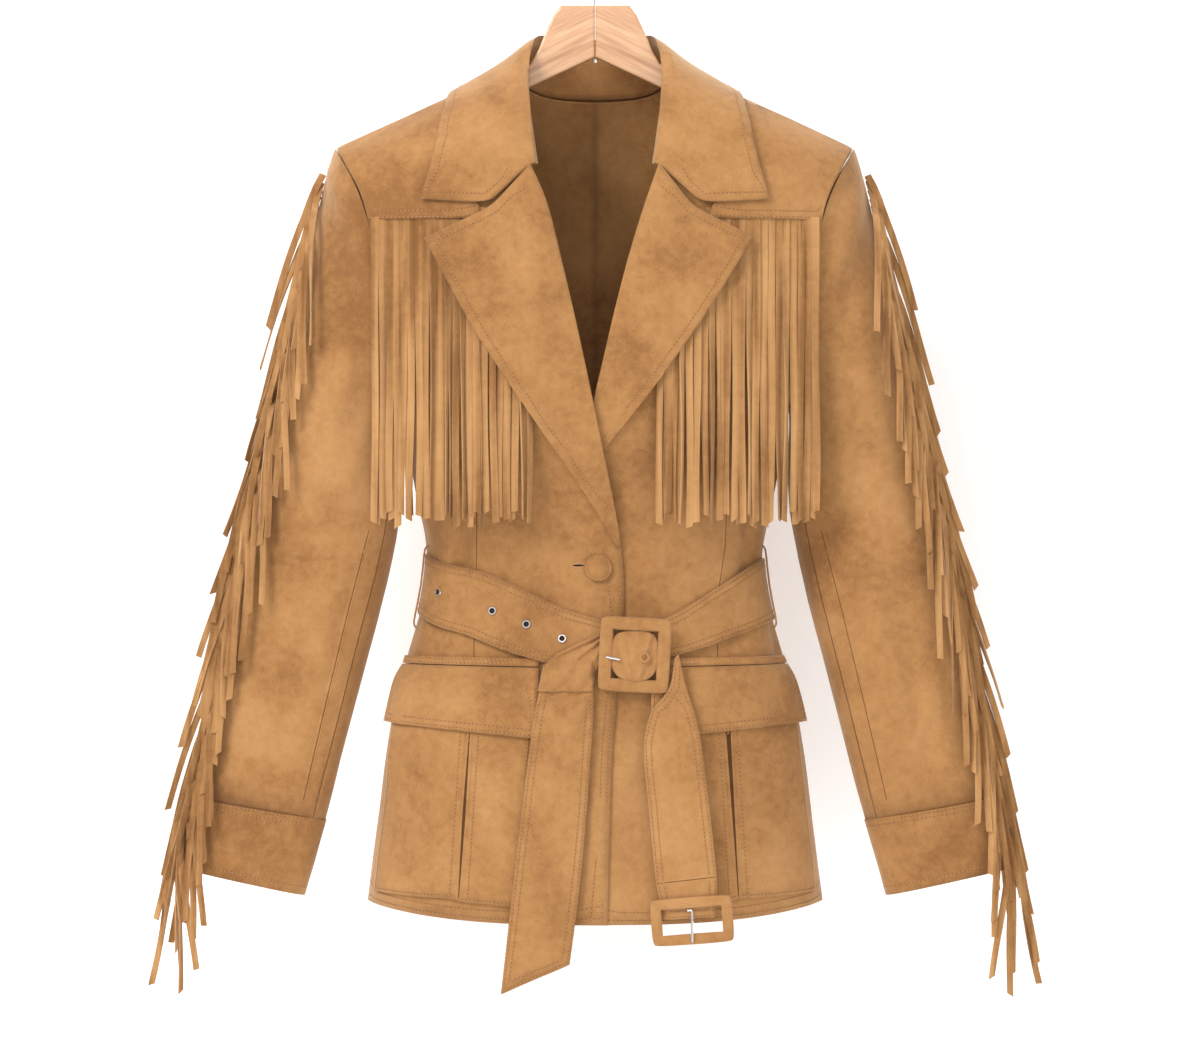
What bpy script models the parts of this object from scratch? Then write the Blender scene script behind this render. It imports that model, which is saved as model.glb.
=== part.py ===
"""A fringed suede jacket with a buckled belt, hanging on a wooden hanger.

Frame: metres, +Z up, the front faces -Y, and the wearer's right is at -X. The origin is the inside
of the hook's crown, where a rail carries the hanger. Sizes below are in millimetres.
"""

import math

import bmesh
import bpy
import numpy as np
from mathutils import Matrix

MM = 0.001
WALL = 1.6  # the suede
GAP = 0.5  # between pieces at a seam
PART_NAME = "suede_jacket"

# The torso: height, half width to the side seam or armhole, depth in front and behind.
TORSO = np.array((
    # z, half, front, back
    (-811.0, 186.0, 82.0, 76.0),
    (-770.0, 181.5, 81.0, 75.0),
    (-695.0, 174.5, 78.0, 72.0),
    (-648.0, 168.0, 75.0, 70.0),
    (-593.0, 154.5, 69.0, 65.0),
    (-559.0, 142.5, 64.0, 61.0),
    (-530.0, 137.0, 61.5, 59.0),
    (-505.0, 136.5, 62.0, 60.0),
    (-485.0, 142.0, 66.0, 63.0),
    (-459.0, 148.5, 73.0, 68.0),
    (-426.0, 152.0, 81.0, 74.0),
    (-397.0, 158.5, 87.0, 78.0),
    (-365.0, 168.0, 90.0, 80.0),
    (-328.0, 175.5, 91.0, 81.0),
    (-295.0, 176.3, 90.0, 81.0),
    (-254.0, 179.6, 87.0, 80.0),
    (-240.0, 183.7, 85.0, 79.0),
    (-217.0, 190.2, 82.0, 76.0),
    (-199.0, 200.0, 79.0, 73.0),
    (-179.3, 211.6, 75.0, 68.0),
    (-138.0, 222.0, 63.0, 56.0),
    (-100.0, 226.0, 54.0, 50.0),
))
ROUNDNESS = 2.4  # exponent of the torso's flattened oval
HEM_Z, SHOULDER_TIP_Z, TIP_X = -811.0, -179.3, 211.6
NECK_X, NECK_Z = 68.0, -112.0  # where the shoulder seam meets the collar
COLLAR_HALF = 0.9  # half the collar's thickness
COLLAR_ROUNDING = 1.8  # how far the rows beside the fold are pushed apart, so that the fold is round
SHOULDER_SLOPE = (NECK_Z - SHOULDER_TIP_Z) / (TIP_X - NECK_X)
SHOULDER_ROUND = 45.0  # how far below the ridge the shoulder reaches its full depth
ARMPIT_Z, ARMHOLE_FULL_Z, ARMHOLE_SHARE = -397.0, -335.0, 0.72
CHEST_Z = -240.0  # the lowest row of the shoulder part of a panel, and the front yoke's lower edge
HEM_LIFT = 16.0  # the hem rises this far at the side seams
BACK_NECK = ((0.3, -138.0), (24.0, -137.3), (46.0, -134.0), (60.0, -125.0), (NECK_X, NECK_Z))

# Edges of the fronts as seen from ahead, from the neck down: x towards the piece's own side.
NECK_EDGE = ((68.0, -112.0), (64.0, -125.0), (60.0, -140.0), (57.0, -160.0), (54.5, -180.0))
RIGHT_EDGE = NECK_EDGE + (
    (54.0, -197.0), (47.0, -208.0), (34.4, -244.0), (18.0, -313.7), (1.6, -389.2), (-7.4, -433.5),
    (-15.6, -472.8), (-21.0, -503.0), (-24.2, -521.0), (-23.6, -561.0), (-18.9, -624.0),
    (-13.9, -664.0), (-11.0, -740.0), (-9.8, -811.0),
)
LEFT_EDGE = NECK_EDGE + (
    (53.8, -197.0), (48.5, -208.0), (32.0, -255.0), (16.0, -316.0), (5.0, -364.0), (-1.6, -389.2),
    (-9.0, -430.0), (-14.0, -480.0), (-15.0, -520.0), (-15.0, -811.0),
)
OVERLAP_FROM = 42.0  # the right front starts to rise over the left this far from the centre
OVERLAP_RISE = ((-811.0, 2.4), (-505.0, 2.4), (-445.0, 5.4), (-380.0, 5.4), (-300.0, 0.0), (-100.0, 0.0))

# Sleeve sections: the outer and inner ends of each in the front view, and the half depth.
SLEEVE = np.array((
    # outer x, outer z, inner x, inner z, half depth
    (211.6, -179.3, 158.5, -397.4, 56.0),
    (221.0, -194.0, 160.0, -402.0, 57.0),
    (229.0, -231.0, 160.0, -409.0, 57.0),
    (238.0, -275.0, 159.5, -418.0, 56.0),
    (249.0, -330.0, 158.5, -431.0, 54.0),
    (262.0, -382.0, 157.5, -449.0, 52.0),
    (274.7, -438.0, 158.0, -480.0, 48.0),
    (287.0, -502.0, 169.5, -532.0, 43.0),
    (299.0, -567.0, 184.5, -592.0, 38.0),
    (312.0, -627.0, 198.0, -648.0, 34.0),
    (324.0, -683.0, 212.0, -702.0, 30.0),
    (331.0, -709.5, 220.5, -728.5, 28.5),
))
SLEEVE_ROUNDNESS = 2.2
CAP_BLEND = 3.5  # sections over which the armhole's curve turns into an oval
FRONT_SEAM_Z = -374.0  # where the seam of the sleeve's two pieces meets the armhole
CUFF = np.array((
    # outer x, outer z, inner x, inner z, half depth
    (332.2, -710.2, 219.8, -729.2, 30.0),
    (338.5, -739.0, 228.5, -760.5, 29.5),
    (345.5, -767.0, 237.0, -791.0, 29.0),
))

YOKE_FRINGE_X, YOKE_FRINGE_Z, YOKE_FRINGE_LENGTH = (49.5, 181.5), -236.0, 248.0
YOKE_STRANDS, SLEEVE_STRANDS = 22, 38
STRAND_THICK, STRAND_HALF, STRAND_STEP = 1.2, 2.7, 1.6
FRINGE_STAND = 5.0  # the lapels clear the yoke and its fringe by this much
SLEEVE_FRINGE_Z = (-203.0, -752.0)
SLEEVE_FRINGE_LENGTH = (112.0, 138.0)
STRAND_FAN = (18.5, 2.0, 11.0, 14.5, 5.0, 8.0)  # degrees from plumb, in turn
STRAND_FOLD = 7.0  # the lowest strands hang back over the cuff by this many degrees
SEED = 7

BELT_THICK = 2.4
BELT_LINE = (
    # share of the half girth from the front's centre, upper edge z, lower edge z; -X side
    (0.00, -568.0, -606.0), (0.13, -549.5, -600.5), (0.31, -533.0, -587.0), (0.43, -525.0, -578.0),
    (1.00, -510.5, -558.0), (1.40, -514.0, -558.0), (2.00, -516.5, -558.0),
)
BELT_LINE_RIGHT = (
    (0.10, -574.0, -600.0), (0.20, -567.0, -597.0), (0.45, -539.0, -581.0), (0.75, -518.0, -569.0),
    (1.00, -514.0, -565.0), (1.40, -515.5, -560.0), (2.00, -516.5, -558.0),
)
TIP_FALL, TAIL_FALL = 6.3, 7.8  # how far each tail hangs clear of the coat behind it
TAIL_SWING = 4.1  # how far the buckle's tail swings back to pass behind the frame's upper bar
TIP_TAIL = (
    # z at the left edge, x left, z at the right edge, x right
    (-599.5, -40.5, -598.0, -3.0), (-630.0, -47.0, -630.0, -0.5), (-657.3, -51.7, -657.3, -2.5),
    (-732.0, -60.7, -732.0, -7.4), (-790.0, -67.5, -790.0, -13.5), (-866.0, -76.0, -842.6, -20.5),
)
BUCKLE_TAIL = (
    (-596.0, 63.6, -592.0, 67.5), (-622.0, 61.0, -616.0, 72.5), (-633.0, 47.5, -630.0, 77.5),
    (-648.0, 42.0, -645.0, 82.0), (-670.4, 38.5, -668.0, 86.5),
    (-707.3, 42.6, -704.0, 91.0), (-748.0, 46.0, -744.0, 95.5), (-784.0, 50.0, -780.0, 99.0),
    (-797.0, 54.0, -795.0, 98.0), (-806.5, 55.5, -804.5, 97.0),
)
BUCKLE = (32.0, -592.5, 58.0, 61.0, 11.0, 6.0)  # centre x, centre z, width, height, rim, thickness
BUCKLE_TURN = math.radians(-3)
END_BUCKLE = (78.3, -806.8, 66.5, 38.5, 9.0, 5.0)
END_BUCKLE_TURN = math.radians(4.2)
PRONG_R, PRONG_PIVOT_Z = 1.1, -798.2
EYELETS = ((-125.0, -543.0), (-82.0, -558.0), (-54.9, -569.0), (-26.5, -580.5))
EYELET_RADII = (2.0, 3.6)
BUTTON_X, BUTTON_Z, BUTTON_R = 2.8, -522.4, 11.3

FLAP_EDGES = ((45.0, -603.4), (156.0, -601.4), (170.0, -648.7), (45.0, -661.0))
FLAP_BAND_EDGES = ((45.0, -596.0), (155.0, -594.5), (156.5, -600.5), (45.0, -602.5))
POCKET_EDGES = ((49.0, -620.0), (159.5, -618.0), (178.0, -786.0), (60.0, -797.0))
POCKET_PLEAT = (101.7, 110.7)  # x at the top and the bottom

WOOD_THICK, HANGER_TIP_X = 13.0, 193.0
WOOD_TOP_Z = -62.0
HOOK_R, HOOK_WIRE = 20.0, 1.6

COLOURS = {
    "suede": ((0.42, 0.235, 0.09, 1.0), 0.95, 0.0),
    "fringe": ((0.47, 0.27, 0.11, 1.0), 0.95, 0.0),
    "wood": ((0.66, 0.40, 0.22, 1.0), 0.45, 0.0),
    "chrome": ((0.75, 0.75, 0.76, 1.0), 0.18, 1.0),
}

for old in list(bpy.data.objects):
    bpy.data.objects.remove(old, do_unlink=True)
part_collection = bpy.data.collections.new(PART_NAME)
bpy.context.scene.collection.children.link(part_collection)


def material(kind):
    """The named material, made on its first use."""
    found = bpy.data.materials.get(kind)
    if found:
        return found
    colour, rough, metal = COLOURS[kind]
    made = bpy.data.materials.new(kind)
    made.use_nodes = True
    shader = made.node_tree.nodes["Principled BSDF"]
    shader.inputs["Base Color"].default_value = colour
    shader.inputs["Roughness"].default_value = rough
    shader.inputs["Metallic"].default_value = metal
    return made


def keep(made, kind):
    """Moves an object into the part's collection with its material."""
    made.data.materials.clear()
    made.data.materials.append(material(kind))
    for holder in list(made.users_collection):
        holder.objects.unlink(made)
    part_collection.objects.link(made)
    return made


def mesh_object(name, points, faces, kind):
    """An object from points in millimetres, its faces turned outwards."""
    mesh = bpy.data.meshes.new(name)
    mesh.from_pydata([tuple(p) for p in np.asarray(points) * MM], [], faces)
    shaped = bmesh.new()
    shaped.from_mesh(mesh)
    bmesh.ops.recalc_face_normals(shaped, faces=shaped.faces)
    shaped.to_mesh(mesh)
    shaped.free()
    mesh.shade_smooth()
    mesh.set_sharp_from_angle(angle=math.radians(50))
    return keep(bpy.data.objects.new(name, mesh), kind)


def wall(name, outer, inner, kind="suede", ring=False, halved=False):
    """A closed wall between two grids of points; ring joins its last column to its first. halved cuts
    each square the same way on both faces, mirrored about the middle row, where the wall turns much."""
    rows, columns = outer.shape[:2]
    points = np.concatenate([outer.reshape(-1, 3), inner.reshape(-1, 3)])
    back = rows * columns

    def at(row, column, side):
        return row * columns + column % columns + side * back

    faces = []
    spans = columns if ring else columns - 1
    for row in range(rows - 1):
        for column in range(spans):
            square = [(row, column), (row, column + 1), (row + 1, column + 1), (row + 1, column)]
            a, b, c, d = square
            halves = [(a, b, c), (a, c, d)] if row < rows // 2 else [(a, b, d), (b, c, d)]
            for face in halves if halved else [square]:
                faces.append([at(*p, 0) for p in face])
                faces.append([at(*p, 1) for p in reversed(face)])
    edges = [((0, c), (0, c + 1)) for c in range(spans)]
    edges += [((rows - 1, c + 1), (rows - 1, c)) for c in range(spans)]
    if not ring:
        edges += [((r + 1, 0), (r, 0)) for r in range(rows - 1)]
        edges += [((r, columns - 1), (r + 1, columns - 1)) for r in range(rows - 1)]
    for a, b in edges:
        faces.append([at(*b, 0), at(*a, 0), at(*a, 1), at(*b, 1)])
    return mesh_object(name, points, faces, kind)


def curve_at(knots, values, at):
    """A smooth curve through the values, read at any place between the first and last knot."""
    knots, values, at = (np.asarray(v, float) for v in (knots, values, at))
    slope = np.gradient(values, knots)
    i = np.clip(np.searchsorted(knots, at) - 1, 0, len(knots) - 2)
    width = knots[i + 1] - knots[i]
    t = np.clip((at - knots[i]) / width, 0, 1)
    rise, fall = t * t * (3 - 2 * t), 1 - t * t * (3 - 2 * t)
    bend = t * (1 - t) * width * ((1 - t) * slope[i] - t * slope[i + 1])
    return fall * values[i] + rise * values[i + 1] + bend


def along(points, at):
    """A smooth line through the points, read at shares of its length."""
    points = np.asarray(points, float)
    run = np.concatenate([[0], np.cumsum(np.linalg.norm(np.diff(points, axis=0), axis=1))])
    return np.stack([curve_at(run / run[-1], points[:, k], at) for k in range(points.shape[1])], -1)


def ease(t):
    t = np.clip(t, 0, 1)
    return t * t * (3 - 2 * t)


def oval_reach(z):
    """The torso oval's own half width, which is past the armhole where there is one."""
    tau = np.clip((z - ARMPIT_Z) / (ARMHOLE_FULL_Z - ARMPIT_Z), 0, 1)
    share = ARMHOLE_SHARE * np.sqrt(1 - (1 - tau) ** 2)
    return curve_at(TORSO[:, 0], TORSO[:, 1], z) / (1 - share**ROUNDNESS) ** (1 / ROUNDNESS)


def signed_power(base, power):
    return np.sign(base) * np.abs(base) ** power


def depth_squared(x, z, side):
    """The square of the torso's depth, carried on below zero outside it."""
    depth = curve_at(TORSO[:, 0], TORSO[:, 2 if side < 0 else 3], z)
    across = signed_power(1 - (np.abs(x) / oval_reach(z)) ** ROUNDNESS, 2 / ROUNDNESS)
    below = NECK_Z - (np.abs(x) - NECK_X) * SHOULDER_SLOPE - z
    w = 1 - below / SHOULDER_ROUND
    top = np.where(w > 0, np.where(w < 1, 1 - w * w, 2 * below / SHOULDER_ROUND), 1)
    return depth**2 * across * top


def torso_normal(x, y, z, side):
    step = 0.2
    slope = [
        (depth_squared(x + step, z, side) - depth_squared(x - step, z, side)) / (2 * step),
        -2 * y,
        (depth_squared(x, z + step, side) - depth_squared(x, z - step, side)) / (2 * step),
    ]
    out = -np.stack(np.broadcast_arrays(*slope), -1)
    return out / np.linalg.norm(out, axis=-1, keepdims=True)


def skin(x, z, side=-1, offset=0.0):
    """Points on the torso at x and z, moved out by the offset; side -1 is the front, 1 the back."""
    x, z, offset = np.broadcast_arrays(np.asarray(x, float), np.asarray(z, float), offset)
    y = side * np.maximum(np.sqrt(np.maximum(depth_squared(x, z, side), 0)), GAP / 2)
    return np.stack([x, y, z], -1) + torso_normal(x, y, z, side) * offset[..., None]


def outside(points, clearance):
    """Points pushed out until they are this clear of the torso."""
    points = np.array(points, float)
    for _ in range(6):
        for side in (-1, 1):
            x, y, z = np.moveaxis(points, -1, 0)
            normal = torso_normal(x, y, z, side)
            step = 0.2
            field = depth_squared(x, z, side) - y * y
            dx = (depth_squared(x + step, z, side) - depth_squared(x - step, z, side)) / (2 * step)
            dz = (depth_squared(x, z + step, side) - depth_squared(x, z - step, side)) / (2 * step)
            distance = -field / np.sqrt(dx * dx + dz * dz + 4 * y * y)
            short = np.where((y * side > 0) | (side < 0) & (y == 0), clearance - distance, 0)
            points += normal * np.maximum(short, 0)[..., None]
    return points


def coons(top, bottom, left, right):
    """A grid inside four edges that share their corners: top and bottom run across, the others down."""
    top, bottom, left, right = (np.asarray(e, float) for e in (top, bottom, left, right))
    s = np.linspace(0, 1, len(top))[None, :, None]
    t = np.linspace(0, 1, len(left))[:, None, None]
    upper = (1 - s) * top[0] + s * top[-1]
    lower = (1 - s) * bottom[0] + s * bottom[-1]
    down = (1 - t) * top[None] + t * bottom[None]
    over = (1 - s) * left[:, None] + s * right[:, None]
    return down + over - (1 - t) * upper - t * lower


def line(a, b, shares):
    a, b = np.asarray(a, float), np.asarray(b, float)
    return a + (b - a) * np.asarray(shares)[:, None]


TOP_SHARES = np.array((0, 0.04, 0.12, 0.26, 0.46, 0.7, 0.92, 1.0))
PANEL_HEIGHTS = np.array((
    -278, -308, -335, -356, -374, -388, -397, -420, -448, -475, -505, -535, -570, -610,
    -660, -735, HEM_Z,
), float)
COLUMNS = 9
BODY_COLUMNS = np.sin(np.linspace(0, 1, COLUMNS) * math.radians(86)) / math.sin(math.radians(86))
ARMHOLE_Z = np.array((
    SHOULDER_TIP_Z, -186.6, -207.2, CHEST_Z, -278, -308, -335, -356, FRONT_SEAM_Z, -388, ARMPIT_Z,
))


def stretched(edge, shares):
    """An edge's own points read again at shares of its run across, so that columns crowd at the side."""
    return np.stack([np.interp(shares, np.linspace(0, 1, len(edge)), edge[:, k]) for k in (0, 1)], -1)


def body_grid(left, right, top):
    """Rows of a torso panel, which crowd at the shoulder and at the side seam."""
    even = np.linspace(0, 1, len(BODY_COLUMNS))
    bottom = line(left[-1], right[-1], even)
    flat = coons(top, bottom, left, right)
    return np.stack([stretched(row, BODY_COLUMNS) for row in flat])


def hem_lifted(grid):
    share = np.clip((-700 - grid[..., 1]) / 111, 0, 1)
    grid[..., 1] += HEM_LIFT * share * np.clip(np.abs(grid[..., 0]) / 186, 0, 1) ** 3
    return grid


def side_edge(side):
    """The armhole and side seam of a panel, in rows."""
    z = np.concatenate([SHOULDER_TIP_Z + (CHEST_Z - SHOULDER_TIP_Z) * TOP_SHARES, PANEL_HEIGHTS])
    return np.stack([side * curve_at(TORSO[:, 0], TORSO[:, 1], z), z], -1)


def front_grid(side, edge):
    z = np.concatenate([NECK_Z + (CHEST_Z - NECK_Z) * TOP_SHARES, PANEL_HEIGHTS])
    edge = np.array(edge)[::-1]
    inner = np.stack([side * np.interp(z, edge[:, 1], edge[:, 0]), z], -1)
    outer = side_edge(side)
    top = line(inner[0], outer[0], np.linspace(0, 1, COLUMNS))
    return hem_lifted(body_grid(inner, outer, top))


def front(name, side, edge):
    """side -1 is the wearer's right, which rises over the left at the centre."""
    grid = front_grid(side, edge)
    x, z = grid[..., 0], grid[..., 1]
    rise = 0.0
    if side < 0:
        rise = right_rise(x, z)
    wall(name, skin(x, z, -1, rise), skin(x, z, -1, rise - WALL))


def right_rise(x, z):
    """How far the wearer's right front stands over the torso near the centre."""
    rise = np.array(OVERLAP_RISE)
    return np.interp(z, rise[:, 0], rise[:, 1]) * ease((x + OVERLAP_FROM) / 18)


def back(name, side):
    z = np.concatenate([BACK_NECK[0][1] + (CHEST_Z - BACK_NECK[0][1]) * TOP_SHARES, PANEL_HEIGHTS])
    inner = np.stack([np.full(len(z), side * BACK_NECK[0][0]), z], -1)
    outer = side_edge(side)
    neck = np.array(BACK_NECK) * (side, 1)
    shoulder = line(neck[-1], outer[0], np.linspace(0, 1, COLUMNS - len(neck) + 1))
    top = np.concatenate([neck, shoulder[1:]])
    flat = coons(top, line(inner[-1], outer[-1], np.linspace(0, 1, COLUMNS)), inner, outer)
    crowd = np.stack([stretched(row, BODY_COLUMNS) for row in flat])
    share = ease(np.linspace(0, 1, len(z)) * 3.4)[:, None, None]
    grid = hem_lifted(flat * (1 - share) + crowd * share)
    x, z = grid[..., 0], grid[..., 1]
    wall(name, skin(x, z, 1), skin(x, z, 1, -WALL))


def patch(name, flat, low, thick, kind="suede"):
    """A piece that lies on the front: a grid of x and z, and how far its underside stands off."""
    x, z = flat[..., 0], flat[..., 1]
    low = np.broadcast_to(low, x.shape)
    wall(name, skin(x, z, -1, low + thick), skin(x, z, -1, low), kind)


def four_sided(corners, side, across, down):
    """A grid inside four corners, as on the +X side: inner top, outer top, outer low, inner low."""
    a, b, c, d = (np.array(p, float) * (side, 1) for p in corners)
    s = np.sin(np.linspace(0, 1, across) * math.radians(70)) / math.sin(math.radians(70))
    t = np.linspace(0, 1, down)
    grid = coons(line(a, b, s), line(d, c, s), line(a, d, t), line(b, c, t))
    limit = curve_at(TORSO[:, 0], TORSO[:, 1], grid[..., 1]) * 0.988
    grid[..., 0] = side * np.minimum(np.abs(grid[..., 0]), limit)
    return grid


def yoke(name, side, edge):
    """The front yoke: the panel's own points, moved out. Its band stands over the fringe's head."""
    grid = front_grid(side, edge)[1:len(TOP_SHARES), 2:]
    grid[:, -1, 0] -= side * 1.8
    low = np.full(grid.shape[:2], 0.7)
    low[-2:] = 2.4
    patch(name, grid, low, 1.4)


def hanging_y(x, z):
    """The y of the furthest forward cloth above a point on the front, where a strand hangs plumb."""
    x = np.minimum(np.abs(x), 168.0)
    below_head = np.minimum(np.asarray(z) - YOKE_FRINGE_Z, 0)
    passed = [YOKE_FRINGE_Z + below_head * share for share in np.linspace(0, 1, 9)]
    return -np.sqrt(np.max([depth_squared(x, height, -1) for height in passed], axis=0))


LAPEL_TIP_LIFT = 4.0
RIGHT_ROLL = (
    (51.7, -198.5), (44.5, -208.0), (33.8, -246.0), (17.4, -313.7), (1.0, -389.2),
    (-8.0, -433.5), (-16.2, -472.8), (-20.5, -500.0),
)
RIGHT_LAPEL = (
    (135.3, -256.7), (90.2, -340.0), (45.9, -403.0), (10.7, -457.0), (-9.8, -489.0), (-18.5, -507.0),
)
LEFT_ROLL = (
    (51.2, -197.5), (47.2, -208.0), (31.2, -256.0), (15.2, -316.0), (4.2, -364.0),
    (-2.4, -391.0), (-8.0, -428.0),
)
LEFT_LAPEL = (
    (125.5, -256.0), (91.8, -312.0), (59.9, -358.0), (31.0, -396.0), (6.0, -428.5), (-2.0, -438.0),
)


def over_right_front(x, z):
    """How far the right lapel's underside stands off the torso."""
    return right_rise(x, z) + 1.2


def over_left_front(x, z):
    return np.full(np.shape(x), 0.7)


def lapel(name, side, roll, outer, notch, low, tip_lift):
    """The turned-back lapel: its first column is the roll line, its first row the gorge and top edge."""
    shares = np.linspace(0, 1, 11)
    left = along(roll, shares) * (side, 1)
    right = along(outer, shares) * (side, 1)
    split = 0.4
    gorge = line(roll[0], notch, np.linspace(0, 1, 4))
    edge = line(notch, outer[0], np.linspace(0, 1, 6))
    top = np.concatenate([gorge, edge[1:]]) * (side, 1)
    bottom = line(left[-1], right[-1], np.linspace(0, 1, len(top)))
    grid = coons(top, bottom, left, right)
    s = np.linspace(0, 1, len(top))[None, :]
    t = shares[:, None]
    lift = tip_lift * ease((s - split) / (1 - split)) * ease(1 - t * 2.2)
    base = low(grid[..., 0], grid[..., 1])
    x, z = grid[..., 0], grid[..., 1]
    plumb = -hanging_y(x, z) - np.sqrt(depth_squared(x, z, -1))
    over_fringe = (FRINGE_STAND + plumb) * ease((np.abs(x) - 32) / 10)
    patch(name, grid, base + over_fringe + lift, 2.0)


def facing(grid):
    """The unit normals of a grid of points."""
    normal = np.cross(np.gradient(grid, axis=0), np.gradient(grid, axis=1))
    return normal / np.linalg.norm(normal, axis=-1, keepdims=True)


def collar_stations():
    """The collar's seam, fold and outer edge from the centre back to the front end, on the +X side."""
    seam = [(0, -138, 1), (30, -137, 1), (50, -133, 1), (62, -122, 1), (68, -112, 0)]
    seam += [(64, -125, -1), (60, -140, -1), (57, -160, -1)]
    seam += [(54.5, -180, -1), (53, -191, -1), (52.5, -196, -1)]
    fold = [(0, 61, -87), (27, 56, -85.5), (43, 36, -84), (49, 14, -85.5), (53, -10, -95)]
    fold += [(55.5, -36, -120), (56.0, -58.5, -138), (55.0, -73, -158)]
    fold += [(54, -77, -176), (52.5, -82, -190), (51, -83, -196)]
    edge = [(0, -163, 1), (42, -161, 1), (78, -153, 1), (104, -141, 1), (114, -133.4, 0)]
    edge += [(120, -150, -1), (125.5, -175, -1), (132.5, -200, -1)]
    edge += [(140.2, -224.4, -1), (112, -226.5, -1), (85.5, -228.0, -1)]
    return seam, fold, edge


def collar():
    seam, fold, edge = collar_stations()
    rows = []
    for station, (s, f, e) in enumerate(zip(seam, fold, edge)):
        low = skin(s[0], s[1], s[2] or 1, -0.6)
        low[..., 2] += 2.4 if s[2] >= 0 else 0.5
        if s[2] < 0:
            low[..., 0] -= 4.9 + 0.2 * max(0, station - 6)
            low[..., 1] += 3.0
        f = np.array(f, float)
        e = outside(skin(e[0], e[1], e[2] or -1, 0.0), 6.2)
        across = line(f, e, (0.1, 0.32, 0.56, 0.8, 1.0))
        clear = np.concatenate([outside(across[:1], 3.6), outside(across[1:], 6.8)])
        stand = line(low, f, (0.0, 0.4, 0.75))
        rows.append(np.concatenate([stand, [f], clear]))
    half = np.array(rows)
    mirrored = half[:0:-1] * (-1, 1, 1)
    centre = np.concatenate([mirrored, half])
    spread = np.zeros(centre.shape[:2] + (1,))
    spread[:, (2, 4)] = COLLAR_ROUNDING
    centre = centre + facing(centre) * spread
    thick = facing(centre) * COLLAR_HALF
    wall("collar", centre + thick, centre - thick, halved=True)


def sleeve_section(r, phi, table, roundness=SLEEVE_ROUNDNESS):
    """A point on an oval section; phi 0 is the outer edge and a quarter turn is the front."""
    knots = np.arange(len(table))
    ox, oz, ix, iz, deep = (curve_at(knots, table[:, k], r) for k in range(5))
    c = signed_power(np.cos(phi), 2 / roundness)
    s = signed_power(np.sin(phi), 2 / roundness)
    x = (ox + ix) / 2 + (ox - ix) / 2 * c
    z = (oz + iz) / 2 + (oz - iz) / 2 * c
    return np.stack(np.broadcast_arrays(x, -deep * s, z), -1)


def armhole(phi):
    """The armhole's edge on the torso, with the seam's gap, and the torso's normal there."""
    side = np.where(np.sin(phi) >= 0, -1, 1)
    z = (SHOULDER_TIP_Z + ARMPIT_Z) / 2 + (SHOULDER_TIP_Z - ARMPIT_Z) / 2 * np.cos(phi)
    x = curve_at(TORSO[:, 0], TORSO[:, 1], z)
    points, normals = np.zeros((*np.shape(phi), 3)), np.zeros((*np.shape(phi), 3))
    for one in (-1, 1):
        y = one * np.maximum(np.sqrt(np.maximum(depth_squared(x, z, one), 0)), GAP / 2)
        here = (side == one)[..., None]
        points = np.where(here, np.stack([x, y, z], -1), points)
        normals = np.where(here, torso_normal(x, y, z, one), normals)
    return points + (GAP + 0.3, 0, 0), normals


def sleeve_surface(r, phi):
    r, phi = np.broadcast_arrays(np.asarray(r, float), phi)
    share = ease(r / CAP_BLEND)[..., None]
    return armhole(phi)[0] * (1 - share) + sleeve_section(r, phi, SLEEVE) * share


def sleeve_piece(name, side, turns):
    """One piece of a sleeve between two seams, given as turns round its section."""
    r = np.array((0, 0.4, 1.0, 1.7, 2.6, 3.6, 4.8, 6, 7.3, 8.7, 11.0))[:, None]
    phi = np.array(turns)[None, :]
    outer = sleeve_surface(r, phi)
    step = 0.01
    before, after = np.maximum(r - step, 0), np.minimum(r + step, 11)
    down = sleeve_surface(after, phi) - sleeve_surface(before, phi)
    around = sleeve_surface(r, phi + step) - sleeve_surface(r, phi - step)
    normal = np.cross(around, down)
    normal /= np.linalg.norm(normal, axis=-1, keepdims=True)
    share = ease(r / 0.9)[..., None]
    normal = armhole(np.broadcast_to(phi, outer.shape[:2]))[1] * (1 - share) + normal * share
    normal /= np.linalg.norm(normal, axis=-1, keepdims=True)
    inner = outer - normal * WALL
    flip = np.array((side, 1, 1))
    wall(name, outer * flip, inner * flip)


def armhole_turn(z):
    """Where round the armhole a height lies, from the shoulder's tip."""
    return np.arccos(np.clip((2 * z - SHOULDER_TIP_Z - ARMPIT_Z) / (SHOULDER_TIP_Z - ARMPIT_Z), -1, 1))


def sleeve(word, side):
    seam = 0.012
    front_turns = armhole_turn(ARMHOLE_Z)
    split = int(np.argmin(np.abs(ARMHOLE_Z - FRONT_SEAM_Z)))
    around = np.concatenate([front_turns[split:], 2 * math.pi - front_turns[-2::-1]])
    top = front_turns[:split + 1].copy()
    top[0] += seam
    top[-1] -= seam
    around[0] += seam
    around[-1] -= seam
    sleeve_piece(f"sleeve_{word}_top", side, top)
    sleeve_piece(f"sleeve_{word}_under", side, around)
    phi = np.linspace(0, 2 * math.pi, 18, endpoint=False)[None, :]
    r = np.array((0, 1.0, 2.0))[:, None]
    inner_table = CUFF - (WALL, 0, -WALL, 0, WALL)
    flip = np.array((side, 1, 1))
    outer = sleeve_section(r, phi, CUFF) * flip
    inner = sleeve_section(r, phi, inner_table) * flip
    wall(f"cuff_{word}", outer, inner, ring=True)


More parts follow.
